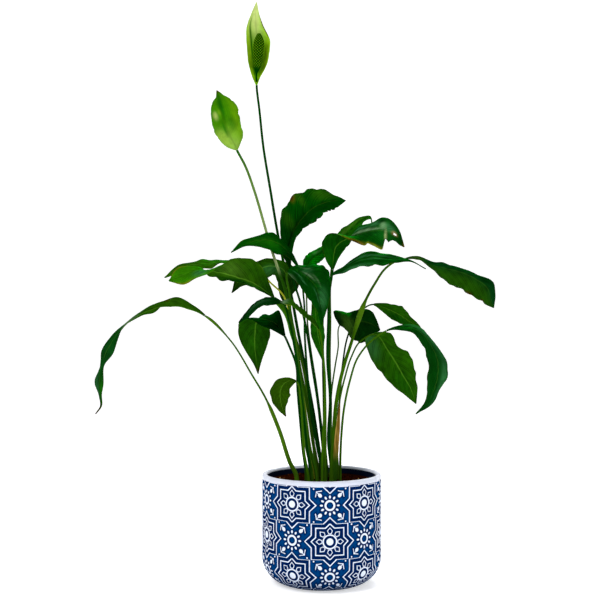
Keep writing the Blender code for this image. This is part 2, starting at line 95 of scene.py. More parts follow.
# %% Nodes written as Python
class Signal:
    """One output of a shader node. Arithmetic on it adds Math nodes."""

    def __init__(self, finish, socket):
        self.finish = finish
        self.socket = socket

    def __add__(self, other):
        return self.finish.maths("ADD", self, other)

    def __sub__(self, other):
        return self.finish.maths("SUBTRACT", self, other)

    def __mul__(self, other):
        return self.finish.maths("MULTIPLY", self, other)

    def __rsub__(self, other):
        return self.finish.maths("SUBTRACT", other, self)

    __radd__ = __add__
    __rmul__ = __mul__


class Finish:
    """A material being made: its node tree, and the maths and mixes used on it."""

    def __init__(self, name, roughness=0.5):
        self.material = bpy.data.materials.new(name)
        self.material.use_nodes = True
        self.tree = self.material.node_tree
        self.shader = self.tree.nodes["Principled BSDF"]
        self.set("Roughness", roughness)

    def set(self, socket, value):
        """Sets or links one socket of the surface shader."""
        self.feed(self.shader.inputs[socket], value)

    def feed(self, socket, value):
        """Links a signal to a socket, or sets the socket to a constant."""
        if isinstance(value, Signal):
            self.tree.links.new(value.socket, socket)
        elif isinstance(value, tuple) and socket.type == "RGBA":
            socket.default_value = (*value[:3], 1)
        else:
            socket.default_value = value

    def node(self, kind, settings, inputs, output=0):
        """Adds a node: its settings first, then the values or links of its sockets."""
        made = self.tree.nodes.new("ShaderNode" + kind)
        for name, value in settings.items():
            setattr(made, name, value)
        for name, value in inputs.items():
            self.feed(made.inputs[name], value)
        return Signal(self, made.outputs[output])

    def maths(self, operation, a, b=0.0):
        """One Math node on signals or numbers."""
        return self.node("Math", {"operation": operation}, {0: a, 1: b})

    def mix(self, share, a, b):
        """Colour a where share is 0 and colour b where it is 1."""
        return self.node("Mix", {"data_type": "RGBA"}, {0: share, 6: a, 7: b}, 2)

    def step(self, value, start, end):
        """0 before start and 1 after end, with a smooth rise between them."""
        settings = {"interpolation_type": "SMOOTHSTEP"}
        return self.node("MapRange", settings, {0: value, 1: start, 2: end, 3: 0.0, 4: 1.0})

    def noise(self, scale, detail=3.0):
        """Soft noise from 0 to 1 in the object's own space."""
        place = self.node("TexCoord", {}, {}, "Object")
        return self.node("TexNoise", {}, {"Vector": place, "Scale": scale, "Detail": detail})

    def attribute(self, name, output=2):
        """A value (output 2) or colour (output 0) stored in the mesh."""
        return self.node("Attribute", {"attribute_name": name}, {}, output)

    def bump(self, height, distance, strength=1.0):
        """Tilts the surface as if a height from 0 to 1 stood this many metres proud."""
        inputs = {"Height": height, "Distance": distance, "Strength": strength}
        self.set("Normal", self.node("Bump", {}, inputs))


# %% [markdown]
# ## Floor and light
# The plant stands on a sheet of white paper that curves up behind it, so no corner
# shows. The paper glows a little, more so far away, which keeps it white without
# washing out the plant. The light is a bright overcast studio: a white world, a large
# soft key from the upper left, a weaker fill from the right, and a light high up behind
# that edges the leaves.


# %% Backdrop, world and lights
NEAR_GLOW = (0.5, 0.5, 0.5)
FAR_GLOW = (0.8, 0.8, 0.8)


def add_backdrop(width=10.0):
    """A floor that curves up into a wall: a profile in Y and Z, drawn out along X."""
    turn = np.radians(np.linspace(-90, 0, 25))
    curve = np.c_[1.9 + 1.5 * np.cos(turn), 1.5 + 1.5 * np.sin(turn)]
    profile = np.vstack([[-4.0, 0.0], curve, [3.4, 6.0]])
    count = len(profile)
    sides = [np.c_[np.full(count, x), profile] for x in (-width / 2, width / 2)]
    mesh = bpy.data.meshes.new("backdrop")
    faces = [(i, i + count, i + count + 1, i + 1) for i in range(count - 1)]
    mesh.from_pydata(np.vstack(sides).tolist(), [], faces)
    mesh.shade_smooth()
    paper = Finish("white_paper", 0.9)
    paper.set("Base Color", (0.9, 0.9, 0.9))
    paper.set("Specular IOR Level", 0.0)
    place = paper.node("TexCoord", {}, {}, "Object")
    x = paper.node("SeparateXYZ", {}, {0: place}, 0)
    y = paper.node("SeparateXYZ", {}, {0: place}, 1)
    beside = paper.step(paper.maths("ABSOLUTE", x), 1.5, 4.0)
    in_front = paper.step(y * -1, 1.2, 3.6)
    far = paper.maths("MAXIMUM", beside, in_front)
    paper.set("Emission Color", paper.mix(far, NEAR_GLOW, FAR_GLOW))
    paper.set("Emission Strength", 1.0)
    mesh.materials.append(paper.material)
    backdrop = bpy.data.objects.new("backdrop", mesh)
    bpy.context.scene.collection.objects.link(backdrop)


def add_world(light, backdrop):
    """A white world: one brightness lights the object, the other is seen behind it."""
    world = bpy.data.worlds.new("studio")
    world.use_nodes = True
    nodes, links = world.node_tree.nodes, world.node_tree.links
    seen = nodes.new("ShaderNodeLightPath").outputs["Is Camera Ray"]
    level = nodes.new("ShaderNodeMapRange")
    links.new(seen, level.inputs[0])
    level.inputs[3].default_value = light
    level.inputs[4].default_value = backdrop
    links.new(level.outputs[0], nodes["Background"].inputs["Strength"])
    nodes["Background"].inputs["Color"].default_value = (1, 1, 1, 1)
    bpy.context.scene.world = world


def add_light(name, place, size, watts):
    """A square soft light that faces the middle of the plant."""
    light = bpy.data.lights.new(name, "AREA")
    light.size = size
    light.energy = watts
    lamp = bpy.data.objects.new(name, light)
    lamp.location = place
    towards = np.array([-0.02, 0, 0.30]) - np.array(place)
    lamp.rotation_mode = "QUATERNION"
    lamp.rotation_quaternion = Vector(towards).to_track_quat("-Z", "Y")
    bpy.context.scene.collection.objects.link(lamp)


add_backdrop()
add_world(0.32, 1.0)
add_light("key", (-0.9, -1.2, 1.5), 0.8, 22)
add_light("fill", (1.2, -1.0, 0.7), 1.0, 8)
add_light("edge", (0.3, 1.1, 1.2), 0.8, 12)

# %% [markdown]
# ## From numbers to a mesh
# Apart from the loose crumbs, every new piece is a grid of points worked out by a
# formula of two parameters. One helper puts the whole array into a mesh, with its
# colours and its pattern coordinates, and hides the piece of the imported model that it
# stands for.


# %% Mesh helper
def add_piece(name, points, faces, material, nodes, colours=None, values=None, uv=None):
    """points (n, 3); faces an (m, 4) array or a list; colours and values at each point."""
    mesh = bpy.data.meshes.new(name)
    mesh.from_pydata(points.tolist(), [], faces if isinstance(faces, list) else faces.tolist())
    mesh.shade_smooth()
    mesh.set_sharp_from_angle(angle=math.radians(50))
    if colours is not None:
        layer = mesh.attributes.new("tint", "FLOAT_COLOR", "POINT")
        layer.data.foreach_set("color", np.c_[colours, np.ones(len(points))].ravel())
    for key, array in (values or {}).items():
        mesh.attributes.new(key, "FLOAT", "POINT").data.foreach_set("value", array.ravel())
    if uv is not None:
        mesh.uv_layers.new(name="UVMap").data.foreach_set("uv", uv.ravel())
    for finish in material if isinstance(material, list) else [material]:
        mesh.materials.append(finish.material)
    piece = bpy.data.objects.new(name, mesh)
    bpy.context.scene.collection.objects.link(piece)
    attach(piece, "root")
    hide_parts(*nodes)
    return piece


def ripple(places, scale, seed, waves=9):
    """Smooth noise about 0: sine waves of about one length, in seeded directions."""
    chance = np.random.default_rng(seed)
    turn = chance.normal(size=(waves, places.shape[-1]))
    turn *= 2 * math.pi / scale / np.linalg.norm(turn, axis=1)[:, None]
    turn *= chance.uniform(0.6, 1.6, (waves, 1))
    return np.sin(places @ turn.T + chance.uniform(0, 6.3, waves)).sum(-1) / math.sqrt(waves)


def soft_step(value, start, end):
    """0 before start, 1 after end, smooth between."""
    share = np.clip((value - start) / (end - start), 0, 1)
    return share * share * (3 - 2 * share)


def grid_faces(rows, columns):
    """Faces between rows of points that run round a closed ring: each joins a point,
    the next one in its row, and the same two a row further on."""
    r, c = np.meshgrid(np.arange(rows - 1), np.arange(columns), indexing="ij")
    here, after = r * columns + c, r * columns + (c + 1) % columns
    return np.stack([here, after, after + columns, here + columns], -1).reshape(-1, 4)


# %% [markdown]
# ## The pot
# The pot is cast with a pattern of raised lines, dipped in blue glaze, and wiped so that
# the lines and the rim come out white. The pattern is a checkerboard of cells, ten
# round the pot: an eight-pointed star with a flower in it, then a small sun between
# four buds. Painting it would leave the wall smooth, so one formula gives the distance
# to the nearest white line, and it is used twice: on arrays, to raise the wall, and on
# shader nodes, to colour the glaze with an edge that stays sharp close up.

# %% The pattern
POT_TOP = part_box("pot")[1].z
POT_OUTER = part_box("pot")[1].x
CELLS_ROUND = 10
CELL_WIDE = 2 * math.pi * POT_OUTER * 1000 / CELLS_ROUND  # millimetres round the pot
CELL_HIGH = 38.8
LINE_HALF = 0.60  # half the width of the long white lines
FIRST_CELL = 6.5  # degrees from the front to the middle of a cell
ROW_MIDDLE = 59.0  # height of the middle of a row of cells
ARRAY_MATHS = {
    "ABSOLUTE": lambda a, b: np.abs(a),
    "SQRT": lambda a, b: np.sqrt(a),
    "FRACT": lambda a, b: a - np.floor(a),
    "FLOOR": lambda a, b: np.floor(a),
    "MINIMUM": np.minimum,
    "MAXIMUM": np.maximum,
}


def array_maths(operation, a, b=0.0):
    """The same operations as Finish.maths, worked out on arrays."""
    return ARRAY_MATHS[operation](a, b)


def diamond(x, y):
    """Distance outside the straight side of a diamond 54.6 wide and 51.8 high."""
    return (x * (1 / 27.3) + y * (1 / 25.9) - 1) * 18.8


def oval(x, y, long, wide, maths):
    """Distance outside an oval of these half sizes."""
    x, y = x * (1 / long), y * (1 / wide)
    return (maths("SQRT", x * x + y * y) - 1) * wide


def petal(s, t, maths):
    """The outline of a pointed petal: straight sides that widen, then meet at a tip."""
    widening = (s - 8.3) * -0.371 + (t - 1.7) * 0.928
    closing = (s - 15.6) * 0.640 + t * 0.768
    edge = maths("MAXIMUM", maths("MAXIMUM", widening, closing), 8.3 - s)
    return maths("ABSOLUTE", edge + 0.4) - 0.42


def star_cell(x, y, a, b, maths):
    """White lines of a star: its outline twice, a disc, a ring and eight petals."""
    star = maths("MINIMUM", maths("MAXIMUM", x - 20.2, y - 19.4), diamond(x, y))
    outline = maths("MINIMUM", maths("ABSOLUTE", star), maths("ABSOLUTE", star + 4.8))
    radius = maths("SQRT", x * x + y * y)
    middle = maths("MINIMUM", radius - 3.8, maths("ABSOLUTE", radius - 7.3) - 0.75)
    slanted = petal((a + b) * 0.7071, (a - b) * 0.7071, maths)
    petals = maths("MINIMUM", petal(a, b, maths), slanted)
    return maths("MINIMUM", maths("MINIMUM", outline - LINE_HALF, middle), petals), star


def sun_cell(x, y, a, b, maths):
    """White lines of a sun: the tips of the stars around it, a ring, seeds and buds."""
    star = maths("MINIMUM", diamond(CELL_WIDE - x, y), diamond(x, CELL_HIGH - y))
    radius = maths("SQRT", x * x + y * y)
    ring = maths("ABSOLUTE", radius - 4.8) - 1.1
    found = maths("MINIMUM", maths("ABSOLUTE", star) - LINE_HALF, ring)
    seed = oval(a - 9.2, b, 1.7, 1.1, maths)
    leaning = oval(a * 0.866 + b * 0.5 - 9.2, b * 0.866 - a * 0.5, 1.7, 1.1, maths)
    found = maths("MINIMUM", found, maths("MINIMUM", seed, leaning))
    s = (x + y - 21.6) * 0.7071
    t = maths("ABSOLUTE", (x - y) * 0.7071)
    bud = oval(s, t, 2.5, 2.0, maths)
    stem = maths("MAXIMUM", t - 0.5, maths("ABSOLUTE", s - 3.6) - 2.0)
    curl = maths("ABSOLUTE", s - 5.6 + t * 0.95 - t * t * 0.05) * 0.75 - 0.42
    curl = maths("MINIMUM", stem, maths("MAXIMUM", curl, t - 4.9))
    dot = oval(s - 9.6, t, 0.9, 0.9, maths)
    return maths("MINIMUM", found, maths("MINIMUM", maths("MINIMUM", bud, curl), dot)), star


def glaze_lines(u, v, maths):
    """u and v count cells round and up the pot. Returns, in millimetres, the distance
    outside the nearest white line and the distance outside the nearest star."""
    x = maths("ABSOLUTE", maths("FRACT", u) - 0.5) * CELL_WIDE
    y = maths("ABSOLUTE", maths("FRACT", v) - 0.5) * CELL_HIGH
    a = maths("MAXIMUM", x, y)
    b = maths("MINIMUM", x, y)
    sun = maths("FRACT", (maths("FLOOR", u) + maths("FLOOR", v)) * 0.5) * 2
    line_0, star_0 = star_cell(x, y, a, b, maths)
    line_1, star_1 = sun_cell(x, y, a, b, maths)
    return line_0 + (line_1 - line_0) * sun, star_0 + (star_1 - star_0) * sun


# %% [markdown]
# ## The pot's wall
# A pot is a profile turned on a wheel: out along the foot, up the side, over the rim
# and down inside. Turning it in code gives a grid of points, one row for each point of
# the profile. The lines have to stand proud, so the grid is fine enough to follow the
# pattern, and every point of the outer side that lies off a line is sunk a little.

# %% The pot's wall
WALL = 0.006
POT_FLOOR = 0.008
CORNER = 0.030
RIM_BAND = 0.118  # the white rim starts at this height
RELIEF = 0.0007


def arc_points(centre, radius, start, end, count):
    """Points on an arc of the profile, its angles in degrees up from outwards."""
    angle = np.radians(np.linspace(start, end, count))
    return np.c_[centre[0] + radius * np.cos(angle), centre[1] + radius * np.sin(angle)]


def pot_profile():
    """Radius and height from the middle of the foot, out, up, over the rim and down to
    the middle of the floor inside, and the part of the pot that each row is."""
    lip = WALL / 2
    inner = POT_OUTER - WALL
    side = np.linspace(CORNER, POT_TOP - lip, 115)[1:]
    inside_up = np.linspace(POT_TOP - lip, CORNER, 8)[1:-1]
    parts = [
        ("foot", np.array([[0.0, 0.0], [0.018, 0.0], [0.034, 0.0]])),
        ("side", arc_points((POT_OUTER - CORNER, CORNER), CORNER, -90, 0, 56)),
        ("side", np.c_[np.full(len(side), POT_OUTER), side]),
        ("rim", arc_points((POT_OUTER - lip, POT_TOP - lip), lip, 0, 180, 12)[1:]),
        ("inside", np.c_[np.full(len(inside_up), inner), inside_up]),
        ("inside", arc_points((POT_OUTER - CORNER, CORNER - WALL + POT_FLOOR), CORNER - WALL, 0, -90, 8)),
        ("inside", np.array([[0.0, POT_FLOOR]])),
    ]
    names = [name for name, run in parts for _ in run]
    return np.vstack([run for _, run in parts]), names


def add_pot(columns, finishes):
    """The profile turned round Z, its outer side sunk where no white line stands."""
    profile, names = pot_profile()
    profile, names = profile[1:-1], np.array(names[1:-1])
    angle = np.linspace(0, 2 * math.pi, columns, endpoint=False) + math.radians(FIRST_CELL)
    corner_run = CORNER * np.arctan2(CORNER - profile[:, 1], profile[:, 0] - POT_OUTER + CORNER)
    height = np.where(profile[:, 1] < CORNER, CORNER - corner_run, profile[:, 1]) * 1000
    round_pot = np.arange(columns) * CELLS_ROUND / columns + 0.5
    u, v = np.meshgrid(round_pot, (height - ROW_MIDDLE) / CELL_HIGH + 10.5)
    line = glaze_lines(u, v, array_maths)[0]
    line = np.minimum(line, (RIM_BAND * 1000 - height)[:, None])
    on_side = (names == "side")[:, None] & (profile[:, 1] < RIM_BAND)[:, None]
    near_foot = soft_step(height, 0, 4)[:, None]
    sunk = np.where(on_side, RELIEF * soft_step(line, -0.35, 0.45) * near_foot, 0)
    inwards = np.where(profile[:, 1] < CORNER, (profile[:, 0] - POT_OUTER + CORNER) / CORNER, 1)
    radius = profile[:, :1] - sunk * np.clip(inwards, 0, 1)[:, None]
    level = np.broadcast_to(profile[:, 1:], radius.shape)
    points = np.stack([radius * np.sin(angle), -radius * np.cos(angle), level], -1)
    rows = len(profile)
    points = np.vstack([points.reshape(-1, 3), [[0, 0, 0], [0, 0, POT_FLOOR]]])
    r, c = np.meshgrid(np.arange(rows - 1), np.arange(columns), indexing="ij")
    quads = grid_faces(rows, columns)
    ring = np.arange(columns)
    foot = np.c_[np.full(columns, rows * columns), (ring + 1) % columns, ring]
    last = (rows - 1) * columns
    floor = np.c_[np.full(columns, rows * columns + 1), last + ring, last + (ring + 1) % columns]
    faces = quads.tolist() + foot.tolist() + floor.tolist()
    across = np.stack([c, c + 1, c + 1, c], -1) * CELLS_ROUND / columns + 0.5
    up = np.stack([v[r, 0], v[r, 0], v[r + 1, 0], v[r + 1, 0]], -1)
    uv = np.stack([across, up], -1).reshape(-1, 2)
    uv = np.vstack([uv, np.zeros((6 * columns, 2))])
    piece = add_piece("glazed_pot", points, faces, finishes, ["pot"], uv=uv)
    kinds = {"foot": 0, "side": 1, "rim": 2, "inside": 3}
    of_row = np.array([kinds[name] for name in names[1:]])
    of_row[profile[1:, 1] >= RIM_BAND] = np.maximum(of_row[profile[1:, 1] >= RIM_BAND], 2)
    index = np.r_[np.repeat(of_row, columns), np.zeros(columns, int), np.full(columns, 3)]
    piece.data.polygons.foreach_set("material_index", index.astype(np.int32))
    print("pot:", len(faces), "faces")


# %% [markdown]
# ## Glazes
# Glaze is glass: it runs off raised lines and pools beside them, where it looks darkest,
# and that dark edge beside the lines is also painted shade. Low on the pot, where it
# turns in, the colour is painted darker as shade. The same pattern formula that shaped
# the wall is used again on the shader's coordinates, so colour and relief can't drift
# apart. The foot is left bare, because glazed clay would stick to the kiln.

# %% Glazes
BLUE = (0.0, 0.043, 0.172)
NAVY = (0.0, 0.0032, 0.042)
WHITE = (0.80, 0.85, 0.97)
UNEVEN_BLUE = (0.0, 0.024, 0.130)
# painted shade: the blue and the white low on the pot, where it turns in towards the foot
FOOT_SHADE_BLUE = (0.0, 0.0015, 0.014)
FOOT_SHADE_WHITE = (0.030, 0.100, 0.220)


def clay_finish():
    """Pale, matt and a little grainy."""
    clay = Finish("bare_clay", 0.8)
    clay.set("Base Color", clay.mix(clay.noise(300.0), (0.42, 0.37, 0.32), (0.60, 0.55, 0.48)))
    clay.bump(clay.noise(900.0), 0.0003)
    return clay


def rim_finish():
    """White glaze, cloudy, with waves in it that catch the light."""
    glaze = Finish("white_glaze", 0.22)
    glaze.set("Specular IOR Level", 0.15)
    glaze.set("Base Color", glaze.mix(glaze.noise(45.0), (0.56, 0.60, 0.72), (0.68, 0.71, 0.80)))
    glaze.set("Roughness", glaze.noise(120.0) * 0.15 + 0.2)
    glaze.bump(glaze.noise(160.0), 0.0004, 0.5)
    return glaze


def inside_finish():
    """Nearly black blue: dark glaze painted darker as the shade deep inside a pot."""
    glaze = Finish("inner_glaze", 0.35)
    glaze.set("Specular IOR Level", 0.02)
    # painted shade: the inside is coloured as dark as it looks in the pot's own shade
    glaze.set("Base Color", glaze.mix(glaze.noise(60.0), (0.001, 0.003, 0.010), (0.003, 0.010, 0.035)))
    return glaze


def pattern_finish():
    """White where a line is near, blue on the ground, navy inside the stars, and navy
    against the lines, where the glaze pools and painted shade falls. Low down, where the
    pot turns in, blue and white are painted darker as shade."""
    glaze = Finish("patterned_glaze", 0.3)
    glaze.set("Specular IOR Level", 0.0)
    place = glaze.node("UVMap", {}, {})
    u = glaze.node("SeparateXYZ", {}, {0: place}, 0)
    v = glaze.node("SeparateXYZ", {}, {0: place}, 1)
    line, star = glaze_lines(u, v, glaze.maths)
    wander = (glaze.noise(260.0) - 0.5) * 0.5
    white = 1 - glaze.step(line + wander, -0.20, 0.14)
    # darker navy beside the lines: pooled glaze, and painted shade against the raised lines
    pool_and_shade = (1 - glaze.step(line, 0.2, 2.2)) * 0.95
    inside = 1 - glaze.step(star, -0.4, 0.4)
    ground = glaze.mix(glaze.maths("MAXIMUM", inside * 0.85, pool_and_shade), BLUE, NAVY)
    ground = glaze.mix(glaze.noise(70.0) * 0.35, ground, UNEVEN_BLUE)
    worn = glaze.mix(glaze.noise(400.0), (0.66, 0.74, 0.90), WHITE)
    # painted shade: blue and white darker towards the foot, where the pot turns in
    low = 1 - glaze.step(v, 8.70, 9.70)
    ground = glaze.mix(low, ground, FOOT_SHADE_BLUE)
    worn = glaze.mix(low * 0.85, worn, FOOT_SHADE_WHITE)
    glaze.set("Base Color", glaze.mix(white, ground, worn))
    glaze.set("Roughness", glaze.noise(200.0) * 0.2 + 0.2)
    glaze.bump(glaze.noise(500.0), 0.0002, 0.4)
    return glaze


add_pot(500, [clay_finish(), pattern_finish(), rim_finish(), inside_finish()])

# %% [markdown]
# ## The compost
# Potting compost is dark, damp and crumbly, with fibres and pale grains of grit. A
# rippled surface gives the lumps, and a thousand or so loose crumbs, each a squashed
# octahedron of its own colour, give the rest.

# %% Compost
SOIL_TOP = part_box("compost")[1].z
SOIL_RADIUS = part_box("compost")[1].x


def soil_height(x, y):
    """Height above the resting level: two sizes of lump, flat at the wall."""
    places = np.stack([x, y], -1)
    lumps = 0.0007 * ripple(places, 0.016, 3) + 0.0005 * ripple(places, 0.006, 4)
    return (lumps - 0.0002) * soft_step(SOIL_RADIUS - np.hypot(x, y), 0, 0.002)


def add_compost(finish, rings=70, columns=180):
    """A lumpy disc on top of the turned shape of the pot's inside."""
    radius = np.linspace(0, SOIL_RADIUS, rings + 1)[1:]
    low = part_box("compost")[0].z
    turn_in = CORNER - WALL - 0.0003
    under = arc_points((SOIL_RADIUS - turn_in, low + turn_in), turn_in, 0, -90, 9)
    angle = np.linspace(0, 2 * math.pi, columns, endpoint=False)
    x, y = radius[:, None] * np.cos(angle), radius[:, None] * np.sin(angle)
    top = np.stack([x, y, SOIL_TOP + soil_height(x, y)], -1)
    ring = np.ones_like(angle)
    side = np.stack([under[:, :1] * np.cos(angle), under[:, :1] * np.sin(angle), under[:, 1:] * ring], -1)
    points = np.vstack([top.reshape(-1, 3), side.reshape(-1, 3), [[0, 0, SOIL_TOP], [0, 0, low]]])
    rows = rings + len(under)
    quads = grid_faces(rows, columns)[:, [0, 3, 2, 1]]
    first, last = np.arange(columns), (rows - 1) * columns + np.arange(columns)
    middle, bottom = rows * columns, rows * columns + 1
    fans = np.c_[np.full(columns, middle), first, np.roll(first, -1)].tolist()
    fans += np.c_[np.full(columns, bottom), np.roll(last, -1), last].tolist()
    add_piece("compost_bed", points, quads.tolist() + fans, finish, ["compost"])
    print("compost:", len(points), "points")


def add_crumbs(finish, count=1100):
    """Squashed octahedra of many sizes, each sunk to half its height in the surface."""
    chance = np.random.default_rng(11)
    radius = (SOIL_RADIUS - 0.003) * np.sqrt(chance.uniform(0, 1, count))
    angle = chance.uniform(0, 2 * math.pi, count)
    x, y = radius * np.cos(angle), radius * np.sin(angle)
    middle = np.stack([x, y, SOIL_TOP + soil_height(x, y)], -1)
    corners = np.array([[1, 0, 0], [0, 1, 0], [-1, 0, 0], [0, -1, 0], [0, 0, 1], [0, 0, -1.0]])
    size = chance.lognormal(math.log(0.0007), 0.5, (count, 1)) * chance.uniform(0.5, 1.5, (count, 3))
    size = np.minimum(size, 0.0028)
    size[:, 2] = np.minimum(size[:, 2], 0.0014)
    turn = chance.uniform(0, 2 * math.pi, count)
    shape = corners[None] * size[:, None] * chance.uniform(0.7, 1.2, (count, 6, 1))
    cos, sin = np.cos(turn)[:, None], np.sin(turn)[:, None]
    flat_x, flat_y = shape[..., 0].copy(), shape[..., 1].copy()
    shape[..., 0] = flat_x * cos - flat_y * sin
    shape[..., 1] = flat_x * sin + flat_y * cos
    points = (middle[:, None] + shape).reshape(-1, 3)
    one = np.array([[0, 1, 4], [1, 2, 4], [2, 3, 4], [3, 0, 4], [1, 0, 5], [2, 1, 5], [3, 2, 5], [0, 3, 5]])
    faces = (one[None] + 6 * np.arange(count)[:, None, None]).reshape(-1, 3)
    peat, bark = [0.008, 0.0015, 0.0], [0.028, 0.005, 0.0006]
    fresh_bark, grit = [0.080, 0.020, 0.003], [0.320, 0.190, 0.060]
    kinds = np.array([peat, bark, fresh_bark, grit])
    kind = chance.choice(4, count, p=[0.50, 0.38, 0.09, 0.03])
    colours = np.repeat(kinds[kind] * chance.uniform(0.7, 1.3, (count, 1)), 6, axis=0)
    piece = add_piece("compost_crumbs", points, faces, finish, [], colours=colours)
    piece.data.shade_flat()
    print("crumbs:", count)


def soil_finish():
    """Damp dark brown with a few paler fibres, and rough all over."""
    soil = Finish("damp_compost", 0.95)
    soil.set("Specular IOR Level", 0.0)
    dark = soil.mix(soil.noise(140.0, 6.0), (0.002, 0.0004, 0.0), (0.036, 0.0055, 0.0006))
    fibre = soil.step(soil.noise(900.0, 2.0), 0.62, 0.75)
    soil.set("Base Color", soil.mix(fibre * 0.5, dark, (0.10, 0.028, 0.005)))
    soil.bump(soil.noise(700.0, 5.0), 0.0015)
    return soil


def crumb_finish():
    """The colour that is stored in each crumb, and a grain."""
    crumb = Finish("crumbs", 0.9)
    crumb.set("Specular IOR Level", 0.0)
    crumb.set("Base Color", crumb.attribute("tint", 0))
    crumb.bump(crumb.noise(1500.0), 0.0004)
    return crumb


add_compost(soil_finish())
add_crumbs(crumb_finish())

# %% [markdown]
# ## Where each leaf grows
# A leaf is described as a maker would bend a wire for it. Guide points give the curve
# of the stalk and of the midrib, and at each point of the midrib two short arrows reach
# to the left and to the right edge. They are in millimetres from the middle of the
# compost's surface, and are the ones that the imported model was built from.

